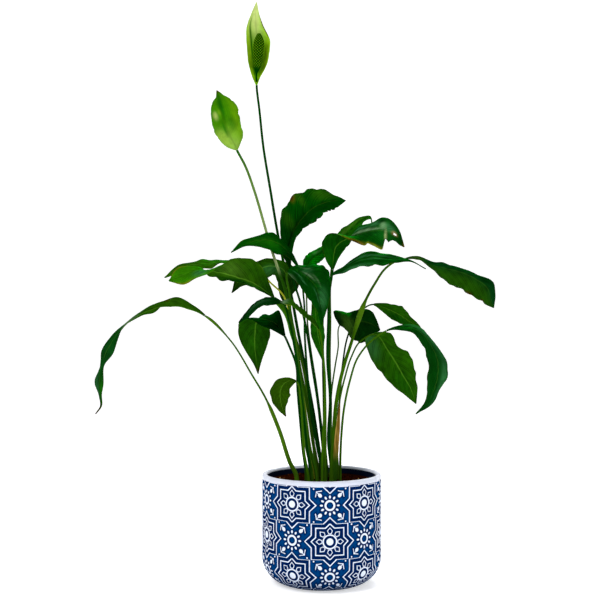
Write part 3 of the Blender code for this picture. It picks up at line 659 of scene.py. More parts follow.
# %% Guide points of the leaves
LEAVES = {
    "top": dict(
        radii=(2.2, 1.2),
        stalk=[(5, 4, 0), (1, 6, 45), (-4, 8, 90), (-10, 10, 127), (-17, 14, 171), (-24, 20, 202)],
        base=(-36, 27, 243),
        blade=[
            ((-38, 30, 261), (-8, -4, 1), (5, -4, 1)),
            ((-35, 30, 276), (-12, -5, 4), (6, -9, 0)),
            ((-29, 28, 289), (-17, -6, 19), (8, -20, -4)),
            ((-21, 24, 300), (-16, -6, 21), (11, -20, -8)),
            ((-9, 18, 311), (-12, -4, 20), (14, -14, -7)),
            ((10, 14, 318), (-6, -2, 14), (5, -8, -10)),
        ],
        tip=(28, 12, 319),
    ),
    "left_upper": dict(
        radii=(2.0, 1.0),
        stalk=[(2, -6, 0), (-4, -4, 35), (-12, -3, 80), (-16, -2, 119), (-19, 0, 165), (-20, 4, 205)],
        base=(-27, 8, 243),
        blade=[
            ((-37, 4, 258), (-3, -3, -3), (2, 4, 4)),
            ((-48, -2, 268), (0, -6, -12), (-1, 7, 9)),
            ((-61, -6, 272), (1, -8, -11), (0, 8, 9)),
            ((-73, -12, 271), (1, -7, -8), (-1, 7, 6)),
            ((-85, -18, 267), (1, -5, -3), (-4, 4, 4)),
        ],
        tip=(-101, -22, 257),
    ),
    "left_front": dict(
        radii=(2.3, 1.5),
        stalk=[(-11, -4, 0), (-18, -6, 46), (-21, -8, 86), (-26, -8, 126), (-32, -8, 165), (-40, -8, 191)],
        base=(-54, -6, 207),
        blade=[
            ((-68, -17, 218), (6, -4, 13), (-2, 6, -3)),
            ((-79, -32, 224), (7, -8, 22), (-2, 14, -4)),
            ((-92, -46, 228), (2, -12, 20), (-1, 16, -4)),
            ((-106, -58, 232), (5, -16, 13), (-4, 14, -8)),
            ((-120, -68, 234), (4, -16, 1), (-2, 12, -4)),
            ((-136, -76, 234), (2, -9, -9), (4, 9, 4)),
            ((-149, -82, 229), (2, -5, -10), (-4, 5, 9)),
        ],
        tip=(-162, -86, 223),
    ),
    "left_behind": dict(
        radii=(1.8, 1.0),
        stalk=[(-8, 14, 0), (-14, 14, 44), (-20, 14, 90), (-27, 13, 136), (-35, 13, 182), (-44, 14, 211)],
        base=(-61, 14, 228),
        blade=[
            ((-70, 14, 242), (3, -8, -8), (-4, 8, 6)),
            ((-86, 10, 247), (2, -14, -9), (-3, 13, 4)),
            ((-106, 2, 248), (2, -15, -2), (-2, 15, 2)),
            ((-124, -6, 246), (2, -13, -5), (-2, 14, 4)),
            ((-140, -14, 244), (2, -10, -7), (-2, 10, 4)),
            ((-156, -18, 241), (3, -6, -6), (-4, 6, 3)),
        ],
        tip=(-175, -22, 229),
    ),
    "left_back": dict(
        radii=(2.0, 1.3),
        stalk=[(-6, 22, 0), (-11, 24, 55), (-17, 26, 107), (-27, 27, 153), (-36, 27, 182)],
        base=(-42, 26, 202),
        blade=[
            ((-41, 28, 213), (8, -3, -1), (-7, -2, -2)),
            ((-39, 32, 227), (13, -5, -5), (-11, -5, -4)),
            ((-45, 40, 242), (13, -2, 3), (-9, -4, -8)),
            ((-60, 46, 246), (2, -2, 9), (-2, -3, -14)),
            ((-76, 48, 241), (0, -4, 10), (1, -4, -18)),
            ((-92, 46, 234), (-3, -3, 10), (3, -3, -11)),
        ],
        tip=(-104, 36, 214),
    ),
    "centre_front": dict(
        radii=(1.9, 1.3),
        stalk=[(-6, -14, 0), (-14, -14, 42), (-19, -14, 76), (-24, -15, 115), (-30, -15, 154),
               (-35, -12, 188), (-36, -9, 210)],
        base=(-38, -8, 236),
        blade=[
            ((-32, -14, 239), (2, 8, 4), (-3, -6, -8)),
            ((-23, -24, 234), (7, 14, 9), (-2, -10, -14)),
            ((-15, -40, 227), (16, 12, 17), (-6, -8, -14)),
            ((-7, -54, 217), (16, 8, 10), (-8, -12, -12)),
            ((-4, -64, 205), (12, 3, 2), (-7, -8, -7)),
            ((-2, -70, 192), (6, 1, 0), (-4, -4, -2)),
        ],
        tip=(-2, -72, 177),
    ),
    "centre_small": dict(
        radii=(1.7, 0.8),
        stalk=[(4, 14, 0), (0, 16, 56), (-5, 18, 102), (-12, 20, 148), (-16, 20, 182), (-17, 20, 211)],
        base=(-19, 22, 236),
        blade=[
            ((-16, 34, 245), (-5, 2, 5), (6, -2, -2)),
            ((-9, 54, 255), (-6, 3, 6), (6, -3, -6)),
            ((1, 74, 262), (-5, 3, 6), (4, -3, -5)),
            ((11, 90, 270), (-4, 2, 5), (2, -2, -4)),
        ],
        tip=(19, 102, 277),
    ),
    "right_torn": dict(
        radii=(2.4, 1.4),
        stalk=[(12, -6, 0), (8, -4, 47), (10, -2, 92), (7, 2, 137), (8, 6, 182), (9, 10, 211)],
        base=(13, 14, 240),
        blade=[
            ((14, 14, 253), (6, 2, 0), (-9, -3, -1)),
            ((17, 10, 266), (9, 6, -2), (-16, -4, 7)),
            ((26, 2, 273), (8, 8, -3), (-12, -12, 6)),
            ((40, -6, 277), (0, 12, 9), (1, -18, -10)),
            ((55, -14, 281), (2, 12, 12), (-1, -8, -17)),
            ((71, -20, 281), (2, 6, 16), (0, -4, -20)),
            ((83, -24, 275), (3, 4, 8), (0, -3, -10)),
        ],
        tip=(91, -26, 263),
    ),
    "right_curled": dict(
        radii=(1.8, 1.0),
        stalk=[(14, 6, 0), (11, 10, 45), (11, 14, 90), (10, 22, 136), (11, 30, 182), (11, 38, 217)],
        base=(13, 48, 244),
        blade=[
            ((20, 58, 266), (-6, -3, 3), (6, -3, -4)),
            ((30, 66, 283), (-7, -3, 6), (7, -4, -6)),
            ((41, 74, 295), (-6, -3, 3), (7, -4, -6)),
            ((52, 78, 304), (-3, -2, 3), (1, -3, -3)),
            ((61, 80, 307), (0, -2, 1), (0, -2, -3)),
        ],
        tip=(63, 80, 299),
    ),
    "right_middle": dict(
        radii=(1.8, 1.0),
        stalk=[(7, 22, 0), (4, 22, 43), (3, 22, 90), (2, 21, 136), (2, 18, 182), (4, 8, 213)],
        base=(11, -2, 232),
        blade=[
            ((24, -14, 239), (0, 8, 3), (1, -8, -4)),
            ((39, -20, 247), (1, 10, 7), (1, -10, -7)),
            ((53, -24, 251), (-1, 11, 8), (0, -10, -9)),
            ((67, -28, 250), (0, 9, 7), (-1, -9, -7)),
            ((82, -30, 249), (1, 6, 4), (-1, -6, -4)),
            ((97, -32, 247), (0, 2, 1), (0, -2, -1)),
        ],
        tip=(114, -34, 238),
    ),
    "right_far": dict(
        radii=(2.9, 1.2),
        stalk=[(11, -16, 0), (13, -16, 48), (17, -14, 95), (26, -10, 134), (33, -6, 155),
               (41, 2, 180), (51, 12, 205), (62, 22, 224), (76, 32, 243), (88, 38, 251)],
        base=(100, 44, 254),
        blade=[
            ((113, 44, 254), (-1, 5, 4), (1, -5, -1)),
            ((129, 40, 247), (2, 8, 5), (2, -8, -7)),
            ((146, 34, 242), (4, 10, 6), (-3, -8, -15)),
            ((163, 26, 237), (5, 10, 5), (-7, -8, -19)),
            ((178, 18, 229), (6, 9, 5), (-10, -6, -17)),
            ((190, 10, 218), (8, 6, 7), (-9, -4, -14)),
            ((193, 6, 206), (6, 3, 3), (-5, -2, -7)),
        ],
        tip=(196, 4, 196),
    ),
    "right_drooping": dict(
        radii=(1.4, 0.9),
        stalk=[(19, 8, 0), (18, 8, 45), (21, 8, 91), (27, 8, 117), (34, 10, 139), (44, 12, 157)],
        base=(61, 16, 166),
        blade=[
            ((69, 28, 161), (-17, -4, 0), (12, 4, 6)),
            ((77, 36, 149), (-20, -6, -10), (13, 6, 3)),
            ((87, 42, 134), (-18, -8, -11), (19, 8, 8)),
            ((97, 46, 117), (-15, -7, -10), (15, 8, 4)),
            ((106, 48, 102), (-10, -4, -6), (9, 5, 2)),
        ],
        tip=(113, 50, 83),
    ),
    "right_small": dict(
        radii=(1.4, 0.8),
        stalk=[(11, 16, 0), (11, 18, 55), (12, 20, 99), (16, 24, 127), (20, 30, 150)],
        base=(22, 34, 176),
        blade=[
            ((28, 40, 181), (-13, 3, 11), (0, -3, -9)),
            ((39, 48, 181), (-4, 8, 11), (-1, -6, -22)),
            ((52, 54, 180), (1, 8, 16), (-2, -6, -25)),
            ((63, 58, 176), (2, 5, 12), (-3, -3, -13)),
        ],
        tip=(71, 60, 170),
    ),
    "right_glossy": dict(
        radii=(1.6, 1.0),
        stalk=[(21, -4, 0), (22, -6, 47), (25, -8, 81), (32, -10, 115), (40, -12, 139),
               (50, -12, 153), (61, -12, 163)],
        base=(73, -12, 170),
        blade=[
            ((88, -14, 173), (1, 7, 3), (-1, -7, -2)),
            ((101, -16, 173), (2, 10, 4), (-2, -10, -5)),
            ((113, -18, 165), (4, 12, 4), (-7, -10, -5)),
            ((122, -20, 152), (8, 12, 1), (-9, -10, -2)),
            ((128, -22, 137), (12, 11, 0), (-11, -9, -1)),
            ((128, -24, 121), (11, 10, -2), (-12, -8, -1)),
            ((124, -24, 105), (7, 8, -3), (-8, -6, -1)),
            ((118, -24, 92), (6, 5, -3), (-4, -4, 0)),
        ],
        tip=(104, -24, 78),
    ),
    "right_back": dict(
        radii=(1.6, 0.9),
        stalk=[(17, 18, 0), (19, 26, 43), (22, 38, 88), (26, 50, 129), (33, 62, 164), (44, 70, 188)],
        base=(65, 74, 201),
        blade=[
            ((72, 76, 199), (-3, -2, -2), (3, 3, 4)),
            ((85, 78, 194), (-5, -3, -6), (6, 8, 7)),
            ((97, 80, 188), (-5, -4, -8), (5, 6, 9)),
            ((108, 82, 181), (-5, -3, -5), (3, 5, 5)),
            ((118, 82, 174), (-3, -2, -2), (3, 2, 2)),
        ],
        tip=(126, 82, 164),
    ),
    "left_hanging": dict(
        radii=(2.1, 1.3),
        stalk=[(-17, 0, 0), (-21, 0, 36), (-24, -1, 69), (-27, -1, 103), (-29, -1, 133), (-36, 2, 151)],
        base=(-42, 6, 164),
        blade=[
            ((-50, 10, 176), (-7, 0, -5), (3, 2, 15)),
            ((-63, 26, 182), (-6, -4, -7), (4, 8, 7)),
            ((-75, 50, 182), (-14, 4, 2), (8, 10, 4)),
            ((-78, 66, 170), (-21, 2, 4), (18, 4, -1)),
            ((-79, 72, 154), (-17, 0, 2), (16, 0, 0)),
            ((-78, 74, 139), (-10, 0, 2), (10, 0, 1)),
            ((-76, 74, 127), (-4, 0, 1), (4, 0, 1)),
        ],
        tip=(-75, 74, 117),
    ),
    "left_narrow": dict(
        radii=(1.8, 1.1),
        stalk=[(-12, -22, 0), (-17, -22, 43), (-21, -22, 82), (-26, -22, 121), (-31, -19, 154),
               (-37, -18, 182)],
        base=(-44, -18, 201),
        blade=[
            ((-53, -19, 203), (0, -6, -4), (1, 6, 4)),
            ((-65, -21, 203), (1, -7, -5), (1, 8, 4)),
            ((-76, -24, 197), (2, -6, -5), (1, 7, 4)),
            ((-83, -28, 189), (2, -4, -4), (-1, 3, 2)),
        ],
        tip=(-92, -32, 179),
    ),
    "upright_folded": dict(
        radii=(1.7, 1.2),
        stalk=[(4, -17, 0), (4, -15, 48), (4, -8, 92)],
        base=(2, 0, 136),
        blade=[
            ((-1, 0, 150), (4, 4, 3), (-6, 4, 2)),
            ((-4, 2, 165), (8, 6, 0), (-8, 8, 1)),
            ((-6, 4, 180), (8, 8, 0), (-6, 9, 2)),
            ((-7, 8, 194), (6, 8, 0), (-4, 8, 5)),
            ((-7, 14, 207), (4, 5, 0), (-3, 5, 0)),
        ],
        tip=(-6, 22, 221),
    ),
    "edge_on": dict(
        radii=(1.6, 1.0),
        stalk=[(0, -26, 0), (1, -26, 49), (3, -26, 93), (2, -27, 136), (-1, -28, 160)],
        base=(-4, -28, 172),
        blade=[
            ((-12, -29, 180), (1, -8, 6), (0, 8, 2)),
            ((-21, -30, 187), (2, -10, 5), (1, 10, 3)),
            ((-31, -30, 196), (2, -9, 4), (0, 9, 2)),
            ((-38, -28, 201), (3, -5, 5), (-2, 4, -2)),
        ],
        tip=(-46, -26, 202),
    ),
    "left_lower": dict(
        radii=(1.6, 1.0),
        stalk=[(-15, -27, 0), (-20, -28, 37), (-22, -29, 71), (-24, -29, 95)],
        base=(-29, -30, 114),
        blade=[
            ((-37, -31, 115), (-1, -4, 4), (2, 3, -8)),
            ((-43, -33, 111), (-6, -5, 6), (7, 4, -8)),
            ((-46, -34, 104), (-10, -5, 4), (11, 5, -4)),
            ((-46, -35, 95), (-10, -4, 1), (9, 4, -1)),
            ((-44, -35, 86), (-6, -2, -1), (4, 2, 0)),
        ],
        tip=(-40, -35, 76),
    ),
    "far_left": dict(
        radii=(1.7, 0.8),
        stalk=[(-28, -4, 0), (-36, -6, 22), (-47, -8, 56), (-64, -10, 96), (-78, -12, 120),
               (-103, -14, 160)],
        base=(-131, -16, 187),
        blade=[
            ((-144, -20, 193), (-1, -3, 7), (0, 6, 6)),
            ((-158, -24, 197), (1, -6, 10), (0, 10, 8)),
            ((-174, -28, 197), (2, -9, 7), (-1, 11, 4)),
            ((-185, -32, 195), (1, -10, 5), (0, 10, -4)),
            ((-200, -36, 188), (0, -10, 1), (0, 10, -2)),
            ((-215, -38, 177), (1, -10, -1), (-2, 10, 0)),
            ((-228, -40, 161), (5, -9, -2), (-6, 8, 1)),
            ((-236, -40, 147), (8, -8, -2), (-7, 7, 1)),
            ((-241, -40, 132), (3, -6, 0), (-3, 6, -1)),
            ((-244, -40, 114), (6, -6, -3), (-6, 5, 0)),
            ((-243, -40, 100), (2, -1, 0), (-2, 1, 0)),
            ((-242, -40, 88), (1, -1, 0), (-1, 1, 0)),
        ],
        tip=(-248, -40, 79),
    ),
}

print("leaves:", len(LEAVES))

# %% [markdown]
# ## Where the flowers and the dry sheath grow
# A flower's stalk and its hood are guided in the same way as a leaf. The spike inside
# has guide points of its own, counted from the base of the hood, and one radius.

# %% Guide points of the flowers and the dry sheath
FLOWERS = {
    "high": dict(
        radii=(2.3, 1.3),
        stalk=[(0, 28, 0), (-6, 30, 56), (-16, 34, 113), (-27, 41, 170), (-36, 48, 218),
               (-44, 46, 251), (-51, 41, 286), (-59, 32, 334), (-67, 22, 384), (-71, 15, 423)],
        base=(-74, 10, 451),
        blade=[
            ((-74, 12, 461), (-5, -4, -1), (4, -4, -2)),
            ((-74, 17, 475), (-9, -8, -1), (11, -10, -3)),
            ((-74, 20, 491), (-11, -8, -2), (15, -12, -2)),
            ((-74, 20, 507), (-12, -8, -1), (15, -10, -3)),
            ((-75, 16, 520), (-10, -6, -1), (9, -6, -2)),
            ((-75, 11, 533), (-4, -2, 2), (4, -2, -1)),
        ],
        tip=(-74, 8, 545),
        spadix=[(0, -3, 3), (0, -4, 12), (1, -5, 22), (2, -6, 33), (3, -6, 51), (3, -6, 57)],
        spadix_radius=5.6,
    ),
    "low": dict(
        radii=(2.2, 1.4),
        stalk=[(-4, 0, 0), (-10, 1, 46), (-16, 3, 85), (-24, 4, 125), (-31, 4, 165),
               (-37, 5, 199), (-43, 6, 222), (-50, 7, 242), (-58, 8, 266), (-66, 7, 294),
               (-76, 4, 328), (-87, 2, 358)],
        base=(-96, 0, 375),
        blade=[
            ((-99, 0, 382), (7, 3, 1), (-9, 3, -3)),
            ((-104, -2, 391), (15, 6, 2), (-15, 5, 0)),
            ((-109, -3, 403), (17, 8, 3), (-15, 7, 1)),
            ((-113, -3, 415), (20, 9, 4), (-13, 8, 4)),
            ((-116, -2, 427), (16, 6, 4), (-8, 4, 2)),
            ((-117, 0, 436), (8, 3, 1), (-3, 2, 0)),
        ],
        tip=(-119, 2, 443),
        spadix=[(-2, 2, 3), (-4, 6, 10), (-8, 8, 18), (-12, 9, 30), (-16, 9, 42), (-18, 9, 47)],
        spadix_radius=4.6,
    ),
}

SHEATH = dict(
    base=(15, -22, 0.3),
    blade=[
        ((15, -22, 18), (2.5, 1.0, 0), (-2.5, 1.0, 0)),
        ((16, -22, 40), (2.8, 1.5, 0), (-2.8, 1.5, 0)),
        ((18, -22, 65), (2.2, 1.2, 0), (-2.2, 1.2, 0)),
    ],
    tip=(20, -23, 90),
)
print("flowers:", len(FLOWERS))

# %% [markdown]
# ## Smooth curves
# The guide points are few, so a smooth curve is run through them. Between two points it
# is a cubic, and its slope at each point is the mean of the two straight runs that meet
# there, each weighted by the other's length, so that uneven spacing causes no kinks.


# %% Curves
def distances(points):
    """How far along the straight runs between the points each one lies."""
    return np.r_[0, np.cumsum(np.linalg.norm(np.diff(points, axis=0), axis=1))]


def smooth_curve(values, knots, places):
    """The cubic Hermite curve through the values, read at every place at once."""
    gap = np.diff(knots)[:, None]
    runs = np.diff(values, axis=0) / gap
    inner = (runs[1:] * gap[:-1] + runs[:-1] * gap[1:]) / (gap[:-1] + gap[1:])
    slope = np.vstack([runs[:1], inner, runs[-1:]])
    i = np.clip(np.searchsorted(knots, places, side="right") - 1, 0, len(knots) - 2)
    t = ((places - knots[i]) / gap[i, 0])[:, None]
    start = values[i] * (2 * t**3 - 3 * t**2 + 1) + slope[i] * gap[i] * (t**3 - 2 * t**2 + t)
    return start + values[i + 1] * (3 * t**2 - 2 * t**3) + slope[i + 1] * gap[i] * (t**3 - t**2)


def unit(vectors):
    """The same directions with a length of 1."""
    return vectors / np.linalg.norm(vectors, axis=-1, keepdims=True)


def in_place(points):
    """Guide points, in millimetres above the compost, as places in metres."""
    return np.array(points, float) / 1000 + [0, 0, SOIL_TOP]


def whole_curve(part):
    """The points of a leaf from its foot to its tip, and which one is the blade's base."""
    foot = np.array(part["stalk"][0], float) + [0, 0, 0.3]
    stalk = [foot, foot + [0, 0, 3]] + [np.array(p, float) for p in part["stalk"][1:]]
    blade = [station[0] for station in part["blade"]]
    return in_place(stalk + [part["base"]] + blade + [part["tip"]]), len(stalk)


# %% [markdown]
# ## Leaf blades
# A peace lily's blade is thin and leathery. A sunken midrib runs down it, side veins
# leave the midrib at a slant and bend towards the tip, and the skin between them is
# slightly puffed. The edge ripples. The blade is one grid, along the midrib and across
# it: the middle column follows the guide curve, the outer columns reach to the edges,
# and ripples, veins and the midrib's groove move each point along the surface's
# normal. A second grid just below makes the underside, and a thin wall joins them
# round every edge, tears and holes included.

# %% Blade surface
THICKNESS = 0.00055
STEP = 0.001
BASE_REACH = 0.0014  # half the blade's width where it leaves the stalk
TIP_REACH = 0.0005
VEIN_BEND = 0.24  # how far along the blade a side vein runs on its way to the edge


def blade_reaches(part, points, knots, base):
    """Arrows from the midrib to the left and the right edge, from base to tip."""
    slope = smooth_curve(points, knots, np.array([knots[base] - STEP, knots[base] + STEP]))
    along = unit(slope[1] - slope[0])
    found = []
    for side in (1, 2):
        reaches = np.array([station[side] for station in part["blade"]], float) / 1000
        first = reaches[0] - along * (reaches[0] @ along)
        found.append(np.vstack([unit(first) * BASE_REACH, reaches, unit(reaches[-1]) * TIP_REACH]))
    return found


def side_veins(along, across, count):
    """Counts veins: whole numbers lie on a vein, which bends towards the tip."""
    return (along[:, None] - VEIN_BEND * np.abs(across)[None, :] ** 1.2) * count + 20


def edge_shape(part, along, across, seed):
    """How much longer each reach is: the edge swells between the ends of the veins,
    swells unevenly as well, and dips in a V at each notch."""
    side = np.sign(across)[None, :]
    lobes = np.abs(np.sin(math.pi * side_veins(along, side[0], part.get("veins", 10) * 0.8)))
    places = np.stack(np.broadcast_arrays(along[:, None] * 14, side * 3), -1)
    uneven = ripple(places, 1.0, seed)
    grow = part.get("scallop", 0.045) * (lobes - 0.75 + 0.35 * uneven)
    grow = grow * np.sin(math.pi * along[:, None]) ** 0.5
    dip = np.zeros_like(grow)
    for edge, at, depth, half in part.get("notches", []):
        cut = depth * np.clip(1 - np.abs(along - at) / half, 0, 1)[:, None]
        dip = np.maximum(dip, cut * (side == edge))
    return 1 + (grow - dip) * np.abs(across)[None, :] ** 2


def blade_surface(part, seed, rows, columns, camber):
    """The middle surface of a blade: points, and the share along and across of each."""
    points, base = part["curve"] if "curve" in part else whole_curve(part)
    knots = distances(points)
    left, right = blade_reaches(part, points, knots, base)
    along = np.linspace(0, 1, rows)
    across = np.linspace(-1, 1, columns)
    at = knots[base] + (knots[-1] - knots[base]) * along
    spine = smooth_curve(points, knots, at)
    to_left = smooth_curve(left, knots[base:], at)
    to_right = smooth_curve(right, knots[base:], at)
    step = smooth_curve(points, knots, at + STEP) - smooth_curve(points, knots, at - STEP)
    upper = unit(np.cross(to_right - to_left, step))
    reach = np.where((across > 0)[None, :, None], to_left[:, None], to_right[:, None])
    share = np.abs(across)[None, :]
    length = np.linalg.norm(reach, axis=-1)
    fade = np.sin(math.pi * np.clip(along, 0, 1))[:, None] ** 0.6
    wave = part.get("wave", 0.09) * length * share**2 * fade
    places = np.stack(np.broadcast_arrays(along[:, None] * 5, np.sign(across)[None, :] * 3), -1)
    lift = camber * length * 4 * share * (1 - share) + wave * ripple(places, 1.0, seed + 50)
    outwards = reach * (share * edge_shape(part, along, across, seed))[..., None]
    return spine[:, None] + outwards + upper[:, None] * lift[..., None], along, across


def shell(surface, lift, thickness, keep):
    """Two copies of a surface, lifted by lift and set thickness apart along its normal,
    joined by a wall wherever a kept cell has no kept neighbour."""
    rows, columns = surface.shape[:2]
    normal = unit(np.cross(np.gradient(surface, axis=0), np.gradient(surface, axis=1)))
    upper = surface + normal * (lift[0] + thickness / 2)[..., None]
    lower = surface + normal * (lift[1] - thickness / 2)[..., None]
    points = np.concatenate([upper, lower]).reshape(-1, 3)
    number = np.arange(rows * columns).reshape(rows, columns)
    under = rows * columns
    a, b = number[:-1, :-1], number[1:, :-1]
    c, d = number[1:, 1:], number[:-1, 1:]
    both_skins = ((a, b, c, d), (a + under, d + under, c + under, b + under))
    faces = [np.stack(order, -1)[keep] for order in both_skins]
    padded = np.pad(keep, 1)
    open_sides = (
        (padded[1:-1, :-2], (a, a + under, b + under, b)),
        (padded[1:-1, 2:], (d, c, c + under, d + under)),
        (padded[:-2, 1:-1], (a, d, d + under, a + under)),
        (padded[2:, 1:-1], (b, b + under, c + under, c)),
    )
    for neighbour, order in open_sides:
        faces.append(np.stack(order, -1)[keep & ~neighbour])
    return points, np.concatenate(faces)


def painted(ground, marks, along, across, face):
    """The ground colour with soft oval marks laid over it in turn. A mark is
    (face, along, across, half length, half width, colour, strength)."""
    colour = np.broadcast_to(np.array(ground), (len(along), len(across), 3)).copy()
    for side, at, off, long, wide, tone, strength in marks:
        if side in (0, face):
            far = ((along[:, None] - at) / long) ** 2 + ((across[None, :] - off) / wide) ** 2
            share = (strength * np.exp(-(far**1.5)))[..., None]
            colour = colour * (1 - share) + np.array(tone) * share
    return colour


def add_blade(name, part, look, finish, node, seed, camber=0.08, rows=96, columns=31):
    """The blade's surface, puffed between its veins and grooved along its midrib, made
    a shell, with its colours and its vein pattern stored at its points."""
    surface, along, across = blade_surface(part, seed, rows, columns, camber)
    veins = side_veins(along, across, look.get("veins", 10))
    near_edge = soft_step(1 - np.abs(across), 0, 0.25)[None, :]
    puffed = look.get("puff", 0.0006) * np.abs(np.sin(math.pi * veins)) ** 0.8 * near_edge
    width = 0.05 + 0.10 * along[:, None]
    groove = np.exp(-((across[None, :] / width) ** 2)) * (1 - along[:, None])
    lift = (puffed - 0.0003 * groove, puffed - 0.0009 * groove)
    thickness = THICKNESS * (0.45 + 0.55 * near_edge) * np.ones((rows, 1))
    keep = np.ones((rows - 1, columns - 1), dtype=bool)
    for first_row, last_row, first_column, last_column in look.get("holes", []):
        keep[first_row:last_row, first_column:last_column] = False
    points, faces = shell(surface, lift, thickness, keep)
    used, faces = np.unique(faces, return_inverse=True)
    points = np.clip(points[used], cad_box[0], cad_box[1])
    marks = look.get("marks", [])
    colours = np.concatenate([
        painted(look["upper"], marks, along, across, 1),
        painted(look["under"], marks, along, across, -1),
    ]).reshape(-1, 3)[used]
    both = np.ones((rows, columns))
    values = {
        "vein": np.concatenate([veins, veins]),
        "middle": np.concatenate([np.abs(across) * both] * 2),
        "along": np.concatenate([along[:, None] * both] * 2),
        "gloss": np.concatenate([both * look.get("gloss", 1.0), both * 0]),
        "rib": np.concatenate([both * look.get("rib", 0.35), both * 0.75]),
    }
    values = {key: array.ravel()[used] for key, array in values.items()}
    add_piece(name, points, faces.reshape(-1, 4), finish, [node], colours=colours, values=values)
    return faces.size // 4


# %% [markdown]
# ## Leaf colours
# The upper face is dark and waxy and the underside is a duller olive. Along the midrib
# and the side veins the green turns paler, and old edges dry to yellow and then brown.
# Each leaf has its own ground colours, and soft marks laid over them where it is
# yellowing, bruised or torn, and as painted shade and painted highlights where it lies
# in shade or shines.

# %% Palette
DEEP = (0.0, 0.016, 0.001)
DARK = (0.001, 0.034, 0.001)
GREEN = (0.001, 0.056, 0.001)
FRESH = (0.008, 0.100, 0.001)
LIME = (0.026, 0.160, 0.001)
OLIVE = (0.011, 0.060, 0.001)
KHAKI = (0.022, 0.092, 0.002)
PALE = (0.055, 0.140, 0.012)
# painted highlight: the shine of the wax laid into the colour, used in leaf marks
SHEEN = (0.030, 0.140, 0.045)
# painted highlight: a paler, whiter shine on folds, edges and veins, used in leaf marks
PALE_HIGHLIGHT = (0.140, 0.240, 0.120)
YELLOW = (0.300, 0.330, 0.020)
AMBER = (0.200, 0.120, 0.006)
CREAM = (0.330, 0.400, 0.160)
BROWN = (0.040, 0.010, 0.001)
STRAW = (0.300, 0.190, 0.075)
MOSS = (0.028, 0.095, 0.001)
PINE = (0.001, 0.036, 0.001)
LIGHT_STALK = (0.070, 0.170, 0.004)
print("palette: the brightest green is", max(DEEP, DARK, GREEN, FRESH, LIME, key=lambda c: c[1]))

# %% [markdown]
# ## Each leaf's look
# No two leaves are alike, so each has a short entry: the ground colour of its upper and
# under side, the colour of its stalk, and then only what differs. A notch is (side,
# place along the blade, depth, half width). Side -1 is the right edge and 1 the left,
# seen on the upper side with the tip ahead. A mark is as painted() says, and a hole is
# the rows and columns of the grid that are left out. Wings are where a stalk is broad.

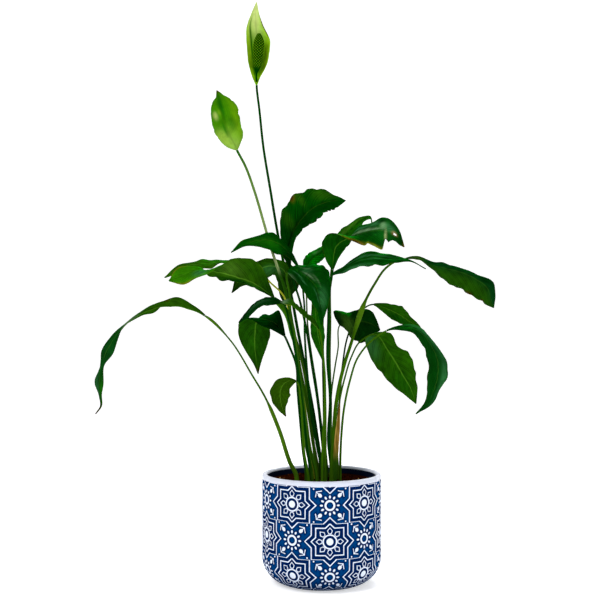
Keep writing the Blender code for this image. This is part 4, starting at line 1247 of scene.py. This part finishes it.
# %% Looks of each leaf
LOOKS = {
    "top": dict(upper=(0.0005, 0.044, 0.0005), under=OLIVE, tone=PINE, veins=9, notches=[
        (-1, 0.30, 0.10, 0.03), (-1, 0.42, 0.14, 0.025), (-1, 0.50, 0.10, 0.02),
        (-1, 0.58, 0.16, 0.02), (-1, 0.66, 0.10, 0.015), (-1, 0.73, 0.16, 0.02),
        (-1, 0.80, 0.10, 0.02), (-1, 0.87, 0.14, 0.02), (1, 0.47, 0.08, 0.05),
        (1, 0.66, 0.10, 0.05), (1, 0.78, 0.08, 0.03), (1, 0.91, 0.30, 0.06)], marks=[
        (1, 0.15, 0.5, 0.25, 0.9, DEEP, 0.7),
        (1, 0.55, -0.6, 0.35, 0.40, DEEP, 0.4),
        (1, 0.82, 0.6, 0.10, 0.40, KHAKI, 0.5),
        (1, 0.62, 0.7, 0.03, 0.40, KHAKI, 0.5),
        (1, 0.40, 0.5, 0.05, 0.50, OLIVE, 0.7),
        (0, 0.56, 0.95, 0.030, 0.20, AMBER, 0.35),
        (0, 0.555, 0.98, 0.022, 0.14, BROWN, 1.0)]),
    "left_upper": dict(upper=(0.0005, 0.058, 0.0005), under=OLIVE, tone=PINE, marks=[
        (1, 0.60, 0.2, 0.25, 0.6, FRESH, 0.7),
        (1, 0.10, 0.0, 0.25, 2.0, DEEP, 0.8),
        (0, 0.85, -1.0, 0.15, 0.18, YELLOW, 0.6)]),
    "left_front": dict(upper=LIME, under=(0.018, 0.080, 0.001), tone=LIGHT_STALK, notches=[
        (-1, 0.22, 0.16, 0.03), (-1, 0.36, 0.22, 0.03), (-1, 0.50, 0.22, 0.04),
        (-1, 0.60, 0.16, 0.03)], wings=[(0.70, 1.02, 2.0)], sheath=(0.03, 0.14, 0.002), marks=[
        (-1, 0.35, -0.8, 0.30, 0.35, DARK, 0.9),
        (-1, 0.22, -0.2, 0.20, 0.25, (0.006, 0.052, 0.001), 0.7),
        (-1, 0.50, 0.3, 0.15, 0.5, PALE, 0.5),
        (-1, 0.62, 0.2, 0.05, 0.5, (0.006, 0.052, 0.001), 0.6),
        (-1, 0.28, 0.6, 0.10, 0.35, (0.010, 0.064, 0.001), 0.6),
        (-1, 0.05, 0.0, 0.15, 2.0, DARK, 0.6),
        (1, 0.75, 0.5, 0.06, 0.4, SHEEN, 0.7),
        (1, 0.95, -1.0, 0.10, 0.20, AMBER, 0.7),
        (1, 0.90, 1.0, 0.10, 0.15, AMBER, 0.6)]),
    "left_behind": dict(upper=KHAKI, under=KHAKI, tone=YELLOW, rib=0.8),
    "left_back": dict(upper=DARK, under=OLIVE, tone=MOSS, marks=[
        (-1, 0.49, -0.3, 0.14, 0.5, SHEEN, 0.3), (-1, 0.1, 0.0, 0.2, 2.0, DEEP, 0.5)]),
    "centre_front": dict(upper=(0.001, 0.050, 0.002), under=OLIVE, tone=KHAKI, rib=0.15, veins=12, marks=[
        (1, 0.25, -0.6, 0.20, 0.4, DEEP, 0.6),
        (1, 0.45, 0.6, 0.20, 0.3, DARK, 0.6),
        (1, 0.30, 0.3, 0.08, 0.25, SHEEN, 0.5),
        (1, 0.36, 0.15, 0.12, 0.04, PALE_HIGHLIGHT, 0.8),
        (1, 0.50, 0.24, 0.12, 0.03, PALE_HIGHLIGHT, 0.6),
        (1, 0.24, 0.45, 0.10, 0.03, PALE_HIGHLIGHT, 0.6),
        (1, 0.20, -0.35, 0.10, 0.05, SHEEN, 0.9),
        (1, 0.34, -0.45, 0.10, 0.05, SHEEN, 0.9),
        (1, 0.75, 0.3, 0.12, 0.4, SHEEN, 0.5),
        (1, 0.68, -0.25, 0.14, 0.06, SHEEN, 0.8),
        (1, 0.92, 0.0, 0.08, 1.0, GREEN, 0.5),
        (0, 0.08, -1.0, 0.08, 0.25, PALE_HIGHLIGHT, 0.4)]),
    "centre_small": dict(upper=GREEN, under=KHAKI, tone=MOSS, marks=[
        (0, 0.53, 0.5, 0.12, 0.2, PALE_HIGHLIGHT, 0.3)]),
    "right_torn": dict(upper=(0.002, 0.048, 0.003), under=(0.003, 0.066, 0.001), tone=PINE, rib=0.15,
        veins=12, notches=[(-1, 0.765, 0.94, 0.034), (-1, 0.83, 0.62, 0.09), (-1, 0.60, 0.10, 0.05)],
        holes=[(80, 83, 14, 17)], marks=[
        (1, 0.50, 0.25, 0.14, 0.10, PALE_HIGHLIGHT, 0.7),
        (1, 0.52, 0.55, 0.10, 0.12, SHEEN, 0.9),
        (1, 0.62, 0.15, 0.10, 0.06, PALE_HIGHLIGHT, 0.7),
        (1, 0.66, 0.60, 0.05, 0.20, SHEEN, 0.9),
        (1, 0.74, 0.35, 0.03, 0.25, PALE_HIGHLIGHT, 0.5),
        (1, 0.72, 0.75, 0.04, 0.20, DEEP, 0.8),
        (1, 0.80, 0.3, 0.06, 0.30, SHEEN, 0.6),
        (0, 0.765, -0.35, 0.012, 0.50, CREAM, 0.5),
        (1, 0.60, -0.6, 0.14, 0.30, GREEN, 0.8),
        (1, 0.95, 0.0, 0.07, 2.0, DARK, 0.7),
        (0, 0.46, -1.0, 0.09, 0.22, AMBER, 0.9),
        (0, 0.44, -1.0, 0.05, 0.14, BROWN, 1.0),
        (0, 0.64, -1.0, 0.12, 0.12, YELLOW, 0.8),
        (0, 0.855, 0.05, 0.03, 0.20, STRAW, 0.8),
        (0, 1.0, 0.0, 0.03, 2.0, AMBER, 0.8)]),
    "right_curled": dict(upper=FRESH, under=KHAKI, tone=MOSS, rib=0.1, marks=[
        (1, 0.6, 0.5, 0.25, 0.3, PALE, 0.5)]),
    "right_middle": dict(upper=(0.001, 0.050, 0.002), under=KHAKI, tone=PINE, rib=0.1, veins=5, marks=[
        (1, 0.40, 0.3, 0.30, 0.12, SHEEN, 0.6),
        (1, 0.55, -0.2, 0.25, 0.12, SHEEN, 0.5),
        (1, 0.25, -0.9, 0.20, 0.25, SHEEN, 0.6)]),
    "right_far": dict(upper=(0.001, 0.032, 0.004), under=OLIVE, tone=MOSS, gloss=0.4, rib=0.2, notches=[
        (-1, 0.42, 0.10, 0.07), (-1, 0.58, 0.14, 0.06), (-1, 0.71, 0.10, 0.05),
        (-1, 0.84, 0.10, 0.04)], marks=[
        (1, 0.62, -0.75, 0.50, 0.75, OLIVE, 1.0),
        (0, 0.08, 0.3, 0.08, 1.0, PALE, 0.5),
        (1, 0.75, 0.5, 0.05, 0.4, DEEP, 0.9),
        (0, 0.68, -1.0, 0.04, 0.12, BROWN, 0.9),
        (0, 0.84, -1.0, 0.03, 0.12, BROWN, 0.9)],
        wings=[(0.56, 0.74, 1.6)]),
    "right_drooping": dict(upper=DARK, under=(0.014, 0.082, 0.001), tone=MOSS, scallop=0.03, marks=[
        (-1, 0.20, 0.7, 0.15, 0.4, SHEEN, 0.45), (-1, 0.75, 0.3, 0.2, 0.6, GREEN, 0.4)]),
    "right_small": dict(upper=(0.001, 0.020, 0.001), under=OLIVE, tone=MOSS, rib=0.15, marks=[
        (1, 0.22, -0.4, 0.16, 0.8, PALE, 0.45)]),
    "right_glossy": dict(upper=(0.002, 0.042, 0.003), under=OLIVE, tone=MOSS, veins=14, marks=[
        (1, 0.30, 0.5, 0.15, 0.4, SHEEN, 0.6),
        (1, 0.65, 0.6, 0.20, 0.3, SHEEN, 0.5),
        (1, 0.70, -0.6, 0.25, 0.3, DARK, 0.6)]),
    "right_back": dict(upper=DARK, under=(0.012, 0.082, 0.001), tone=PINE, marks=[
        (-1, 0.5, 0.5, 0.25, 0.4, GREEN, 0.7)]),
    "left_hanging": dict(upper=DEEP, under=(0.010, 0.068, 0.001), tone=PINE, scallop=0.03, marks=[
        (0, 1.0, 0.0, 0.05, 2.0, BROWN, 0.8), (-1, 0.35, 0.5, 0.2, 0.4, DARK, 0.5)]),
    "left_narrow": dict(upper=(0.001, 0.036, 0.003), under=OLIVE, tone=PINE, rib=0.1, marks=[
        (1, 0.5, 0.1, 0.25, 0.4, SHEEN, 0.6), (1, 0.1, 0.0, 0.15, 2.0, DEEP, 0.7)]),
    "upright_folded": dict(upper=GREEN, under=FRESH, tone=MOSS),
    "edge_on": dict(upper=DARK, under=OLIVE, tone=MOSS, marks=[
        (0, 0.5, -1.0, 0.4, 0.25, YELLOW, 0.5), (0, 1.0, 0.0, 0.12, 2.0, PALE_HIGHLIGHT, 0.8)]),
    "left_lower": dict(upper=DARK, under=(0.018, 0.062, 0.001), tone=MOSS, scallop=0.0, marks=[
        (0, 1.0, 0.0, 0.05, 2.0, BROWN, 0.9)]),
    "far_left": dict(upper=(0.003, 0.046, 0.005), under=OLIVE, tone=MOSS, rib=0.7,
        wings=[(-0.2, 0.45, 0.9), (0.84, 1.02, 0.8)], marks=[
        (0, 0.18, 0.0, 0.25, 2.0, (0.015, 0.072, 0.001), 1.0),
        (0, 0.22, 1.0, 0.015, 0.4, BROWN, 0.8),
        (0, 0.44, 0.5, 0.06, 0.8, PALE_HIGHLIGHT, 0.4),
        (1, 0.88, 0.6, 0.10, 0.5, FRESH, 0.8),
        (1, 0.86, -0.5, 0.10, 0.4, SHEEN, 0.5),
        (0, 1.0, 0.0, 0.06, 2.0, BROWN, 0.9)]),
}
print("marks painted on the leaves:", sum(len(look.get("marks", [])) for look in LOOKS.values()))


# %% [markdown]
# ## The skin of leaves and stalks
# Up close a leaf is mottled, with pale veins, a valley beside each that is painted
# darker as shade, and fine lines between. Those follow the vein count stored in the
# mesh. On the glossy upper face the pale vein lines are painted paler still, as a
# painted highlight. The wax on the upper face shines, but in a white studio a clear
# coat would turn every slanting leaf grey, so a small share of Metallic is used: its
# reflection takes the leaf's own green. A stalk has fine streaks along it, made by
# stretching noise upwards.


# %% Leaf and stalk finishes
def leaf_finish():
    """Stored colours, paler on the veins and mottled, painted darker as shade in the
    valleys beside the veins and paler on the glossy face's veins as a painted highlight,
    with a waxy upper face.
    """
    leaf = Finish("leaf_skin")
    ground = leaf.attribute("tint", 0)
    vein = leaf.maths("ABSOLUTE", leaf.maths("FRACT", leaf.attribute("vein")) - 0.5)
    across = leaf.attribute("middle")
    gloss = leaf.attribute("gloss")
    line = leaf.step(vein, 0.42, 0.5) * leaf.step(across, 0.04, 0.2)
    line = line * (1 - leaf.step(across, 0.75, 1.0))
    # painted shade: darker in the valley beside each vein
    valley_shade = leaf.step(vein, 0.25, 0.45) * (1 - leaf.step(vein, 0.44, 0.5))
    fine = leaf.maths("ABSOLUTE", leaf.maths("FRACT", leaf.attribute("vein") * 5.0) - 0.5)
    rib = (1 - leaf.step(across, 0.015, 0.06)) * leaf.attribute("rib")
    shade = leaf.noise(75.0, 4.0) * 1.2 + 0.40 + (0.25 - fine) * 0.35 - valley_shade * 0.45
    mottled = leaf.node("HueSaturation", {}, {"Value": shade, "Color": ground})
    patch = leaf.step(leaf.noise(38.0, 4.0), 0.55, 0.72)
    lighter = leaf.node("HueSaturation", {}, {"Value": 1.9, "Color": ground})
    colour = leaf.mix(patch * 0.45, mottled, lighter)
    # pale vein lines, stronger on a glossy face: real paler veins, and a painted highlight
    colour = leaf.mix(line * (gloss * 0.4 + 0.4), colour, lighter)
    colour = leaf.mix(rib, colour, leaf.mix(0.45, lighter, (0.11, 0.25, 0.02)))
    edge = leaf.step(across, 0.94, 1.0) * leaf.step(leaf.noise(70.0), 0.45, 0.6)
    colour = leaf.mix(edge * 0.4, colour, (0.10, 0.11, 0.01))
    leaf.set("Base Color", colour)
    leaf.set("Roughness", 0.56 - gloss * 0.18 + (leaf.noise(60.0) - 0.5) * 0.2)
    leaf.set("Specular IOR Level", 0.0)
    leaf.set("Metallic", gloss * 0.25)
    leaf.set("Specular Tint", (0.10, 1.0, 0.30))
    leaf.bump(leaf.noise(600.0) * 0.3 + line * 0.5 + (0.25 - fine), 0.0003, 0.7)
    return leaf


def upright_streaks(finish, squeeze, scale, detail=2.0):
    """Noise stretched along Z, because its height is squeezed first."""
    place = finish.node("TexCoord", {}, {}, "Object")
    place = finish.node("Mapping", {}, {"Vector": place, "Scale": (1.0, 1.0, squeeze)})
    return finish.node("TexNoise", {}, {"Vector": place, "Scale": scale, "Detail": detail})


def stalk_finish():
    """Stored colours, lighter and darker in fine streaks."""
    stalk = Finish("stalk_skin", 0.42)
    ground = stalk.attribute("tint", 0)
    streak = upright_streaks(stalk, 0.04, 900.0)
    streaked = stalk.node("HueSaturation", {}, {"Value": streak * 0.9 + 0.55, "Color": ground})
    stalk.set("Base Color", streaked)
    stalk.set("Specular IOR Level", 0.0)
    stalk.set("Metallic", 0.15)
    stalk.bump(streak, 0.0003, 0.5)
    return stalk


LEAF = leaf_finish()
STALK = stalk_finish()

# %% [markdown]
# ## Stalks
# A stalk is a juicy tube that thins upwards. Low down it is paler, and where it still
# clasps its neighbour, or widens into the blade, it spreads into wings. The tube is an
# oval carried along the guide curve, and the wings only widen the oval, which keeps
# the surface one closed skin.


# %% Stalk surface
def tube(path, half_wide, half_deep, around):
    """Ovals carried along a path, with a point in the middle of each end."""
    along = unit(np.gradient(path, axis=0))
    across = unit(np.cross(along, [0.0, 1.0, 0.0]))
    deep = np.cross(across, along)
    angle = np.linspace(0, 2 * math.pi, around, endpoint=False)
    wide_part = (half_wide[:, None] * np.cos(angle))[..., None] * across[:, None]
    deep_part = (half_deep[:, None] * np.sin(angle))[..., None] * deep[:, None]
    rings = path[:, None] + wide_part + deep_part
    points = np.vstack([rings.reshape(-1, 3), path[:1], path[-1:]])
    count = len(path)
    quads = grid_faces(count, around)[:, [0, 3, 2, 1]]
    ring = np.arange(around)
    last = (count - 1) * around + ring
    start = np.c_[np.full(around, count * around), ring, np.roll(ring, -1)]
    end = np.c_[np.full(around, count * around + 1), np.roll(last, -1), last]
    return points, quads.tolist() + start.tolist() + end.tolist(), angle


def add_stalk(name, part, look, node, rows=90, around=14):
    """A tube from the compost to just under the blade. It thins from its foot upwards,
    and is broader, and paler, where it has wings."""
    points, base = whole_curve(part)
    knots = distances(points)
    end = knots[base] - 0.0003
    at = np.linspace(0, end, rows)
    share = at / end
    foot, top = part["radii"]
    radius = (foot + (top - foot) * share**0.7) / 1000
    wings = np.zeros(rows)
    for start, stop, width in look.get("wings", []):
        spread = soft_step(share, start, start + 0.1) * soft_step(share, stop, stop - 0.06)
        wings = wings + width / 1000 * spread
    path = smooth_curve(points, knots, at)
    points, faces, _ = tube(path, radius + wings, radius, around)
    heights, tones = zip(*look.get("tones", [(0.0, look["tone"]), (1.0, look["tone"])]))
    ground = np.stack([np.interp(share, heights, channel) for channel in zip(*tones)], -1)
    pale = soft_step(share, 0.12, 0.0)[:, None] * 0.3 + (wings / 0.0015)[:, None] * 0.7
    pale = np.clip(pale, 0, 1)
    tone = ground * (1 - pale) + np.array(look.get("sheath", (0.07, 0.16, 0.006))) * pale
    rings = np.repeat(tone, around, axis=0)
    colours = np.vstack([rings, tone[:1], tone[-1:]])
    add_piece(name, points, faces, STALK, [node], colours=colours)


# %% [markdown]
# ## All the leaves
# With the guide points, the looks and the two makers ready, a short loop grows the
# plant. The place in the list seeds each leaf's ripples, so every run gives the same
# plant.

# %% Make the leaves
total = 0
for seed, (name, leaf) in enumerate(LEAVES.items()):
    look = LOOKS[name]
    part = {**leaf, **look}
    total += add_blade(f"blade_{name}", part, look, LEAF, f"leaf_{name}_blade", seed)
    add_stalk(f"stalk_{name}", leaf, look, f"leaf_{name}_stalk")
print("leaves:", len(LEAVES), "with", total, "faces on their blades")

# %% [markdown]
# ## Flowers
# What looks like a petal is a spathe, a single leaf that cups a spike of tiny flowers,
# the spadix. The spathe is a blade with fine veins that run lengthwise. The spadix is a
# blunt rod covered in small bumps in slanting rows, so its radius is a smooth rod's
# plus a lattice of cosines.

# %% Flower looks
PALE_GREEN = (0.520, 0.630, 0.160)
SOFT_GREEN = (0.190, 0.480, 0.002)
MID_GREEN = (0.040, 0.190, 0.001)
# painted shade: the dark flank along the folds of a spathe
FOLD_SHADE = (0.006, 0.110, 0.001)
FLOWER_LOOKS = {
    "high": dict(upper=SOFT_GREEN, under=SOFT_GREEN, tone=PINE, marks=[
        (0, 0.45, 1.0, 0.55, 0.45, (0.360, 0.640, 0.012), 0.95),
        (0, 0.45, -1.0, 0.55, 0.38, (0.350, 0.640, 0.010), 0.95),
        (1, 0.38, 0.0, 0.30, 0.50, (0.045, 0.270, 0.001), 0.9),
        (0, 0.80, 0.1, 0.22, 0.9, (0.540, 0.640, 0.190), 0.8),
        (0, 1.0, 0.0, 0.22, 2.0, (0.560, 0.680, 0.220), 0.95),
        (1, 0.16, 0.40, 0.10, 0.14, FOLD_SHADE, 0.9),
        (1, 0.28, 0.48, 0.10, 0.12, FOLD_SHADE, 0.95),
        (1, 0.40, 0.52, 0.10, 0.11, FOLD_SHADE, 0.95),
        (1, 0.52, 0.56, 0.10, 0.10, FOLD_SHADE, 0.95),
        (1, 0.64, 0.62, 0.10, 0.09, FOLD_SHADE, 0.9),
        (1, 0.74, 0.70, 0.08, 0.08, FOLD_SHADE, 0.7),
        (0, 0.76, -0.97, 0.09, 0.09, BROWN, 0.95),
        (0, 0.66, -0.98, 0.06, 0.07, BROWN, 0.9)]),
    "low": dict(upper=MID_GREEN, under=MID_GREEN, tone=MOSS, marks=[
        (0, 0.03, 0.0, 0.25, 2.0, (0.260, 0.460, 0.060), 0.9),
        (0, 0.30, 0.5, 0.16, 0.50, (0.200, 0.420, 0.020), 0.6),
        (0, 0.22, -0.6, 0.12, 0.50, (0.300, 0.480, 0.050), 0.6),
        (0, 0.50, 0.8, 0.40, 0.30, (0.130, 0.320, 0.003), 0.7),
        (0, 0.55, -0.60, 0.06, 0.22, PALE_GREEN, 0.55),
        (0, 0.62, -0.20, 0.05, 0.18, (0.150, 0.330, 0.010), 0.6),
        (0, 0.80, -0.1, 0.15, 0.25, FOLD_SHADE, 0.7),
        (0, 0.72, 0.10, 0.20, 0.10, FOLD_SHADE, 0.9),
        (0, 0.35, -0.15, 0.12, 0.10, FOLD_SHADE, 0.7),
        (0, 0.42, 0.45, 0.10, 0.25, (0.012, 0.120, 0.001), 0.6),
        (0, 0.90, -0.5, 0.08, 0.40, (0.012, 0.100, 0.001), 0.6),
        (0, 1.0, 0.0, 0.05, 2.0, BROWN, 0.95)],
        scallop=0.03, notches=[
            (1, 0.58, 0.12, 0.07), (1, 0.80, 0.08, 0.03), (1, 0.92, 0.20, 0.05), (-1, 0.88, 0.14, 0.05)],
        tones=[(0.0, MOSS), (0.61, OLIVE), (0.65, (0.30, 0.38, 0.16)), (0.80, (0.13, 0.22, 0.05)),
               (0.92, (0.07, 0.16, 0.02)), (1.0, (0.008, 0.085, 0.001))]),
}


def spathe_finish():
    """Stored colours with darker lines that run lengthwise, and soft dark blotches."""
    spathe = Finish("spathe_skin", 0.45)
    ground = spathe.attribute("tint", 0)
    across = spathe.attribute("middle")
    line = spathe.step(spathe.maths("ABSOLUTE", spathe.maths("FRACT", across * 9.0) - 0.5), 0.3, 0.5)
    darker = spathe.node("HueSaturation", {}, {"Value": 0.6, "Color": ground})
    colour = spathe.mix(line * 0.35, ground, darker)
    colour = spathe.mix(spathe.step(spathe.noise(110.0, 4.0), 0.40, 0.62) * 0.45, colour, darker)
    colour = spathe.mix((1 - spathe.step(across, 0.03, 0.12)) * 0.5, colour, darker)
    spathe.set("Base Color", colour)
    spathe.set("Specular IOR Level", 0.0)
    spathe.bump(line + spathe.noise(500.0) * 0.5, 0.0003, 0.6)
    return spathe


def spadix_finish():
    """Dark green between the bumps, partly painted shade in the hollows, and yellow green
    on most of their tops.
    """
    spadix = Finish("spadix_skin", 0.7)
    spadix.set("Specular IOR Level", 0.0)
    # dark between the bumps: the spike's own colour and painted shade in the hollows
    top = spadix.step(spadix.attribute("bump"), 0.3, 0.95)
    ripe = top * (spadix.noise(400.0) * 0.8 + 0.45)
    spadix.set("Base Color", spadix.mix(ripe, (0.0, 0.030, 0.0), (0.160, 0.360, 0.003)))
    spadix.bump(spadix.noise(1500.0), 0.0002, 0.5)
    return spadix


SPATHE = spathe_finish()
SPADIX = spadix_finish()
WAVES_ROUND = 11
WAVES_UP = 2100  # radians in a metre, so a wave is 3 mm long
BUMP_HEIGHT = 0.16  # as a share of the rod's radius


def add_spadix(name, flower, rows=150, around=72):
    """A rod along its own guide curve. Where the waves round it and the waves up it are
    both high or both low, a bump stands, so that each row is offset from the last."""
    base = in_place([flower["base"]])[0]
    points = base + np.array(flower["spadix"], float) / 1000
    knots = distances(points)
    at = np.linspace(0, knots[-1], rows)
    full = flower["spadix_radius"] / 1000
    widths = np.array([0.0013, 0.0013, full * 0.9, full, full * 0.85, full * 0.35])[:, None]
    radius = smooth_curve(widths, knots, at)[:, 0]
    path = smooth_curve(points, knots, at)
    points, faces, angle = tube(path, radius, radius, around)
    lattice = np.cos(WAVES_ROUND * angle[None]) * np.cos(at[:, None] * WAVES_UP)
    bumps = np.clip(lattice, 0, 1) ** 0.6 * soft_step(at, knots[1], knots[2])[:, None]
    centre = np.repeat(path, around, axis=0)
    body = points[:-2]
    body += (body - centre) * (BUMP_HEIGHT * bumps.reshape(-1, 1) - 0.04)
    values = {"bump": np.r_[bumps.ravel(), 0, 0]}
    add_piece(f"spadix_{name}", points, faces, SPADIX, [f"flower_{name}_spadix"], values=values)


for seed, (name, flower) in enumerate(FLOWERS.items(), 100):
    look = {"puff": 0.0001, "gloss": 0.3, "scallop": 0.015, **FLOWER_LOOKS[name]}
    part, node = {**flower, **look}, f"flower_{name}"
    add_blade(f"spathe_{name}", part, look, SPATHE, f"{node}_spathe", seed, camber=-0.12)
    add_stalk(f"stalk_flower_{name}", flower, look, f"{node}_stalk", rows=140)
    add_spadix(name, flower)
print("flowers:", len(FLOWERS))


# %% [markdown]
# ## The dry sheath
# One old sheath has dried to paper at the front of the clump. It is a narrow blade,
# crinkled, still green at its foot, tan above with brown streaks and a dark tip.

# %% Dry sheath
def sheath_finish():
    """Green at the foot, then streaks of tan and brown, then a dark tip."""
    paper = Finish("dry_sheath", 0.8)
    paper.set("Specular IOR Level", 0.0)
    streak = upright_streaks(paper, 0.05, 700.0)
    tone = paper.mix(paper.step(streak, 0.35, 0.65), (0.120, 0.065, 0.006), (0.400, 0.270, 0.060))
    tip = paper.step(paper.attribute("along"), 0.75, 1.0)
    tone = paper.mix(paper.step(paper.attribute("along"), 0.25, 0.50), (0.016, 0.060, 0.002), tone)
    paper.set("Base Color", paper.mix(tip * 0.8, tone, (0.05, 0.012, 0.004)))
    paper.bump(streak, 0.0005)
    return paper


sheath_points = in_place([SHEATH["base"]] + [s[0] for s in SHEATH["blade"]] + [SHEATH["tip"]])
sheath = {**SHEATH, "curve": (sheath_points, 0), "wave": 0.25}
look = dict(upper=STRAW, under=STRAW, puff=0.0)
paper = sheath_finish()
faces = add_blade("dry_sheath_paper", sheath, look, paper, "dry_sheath", 200, 0.0, 60, 13)
print("dry sheath:", faces, "faces")
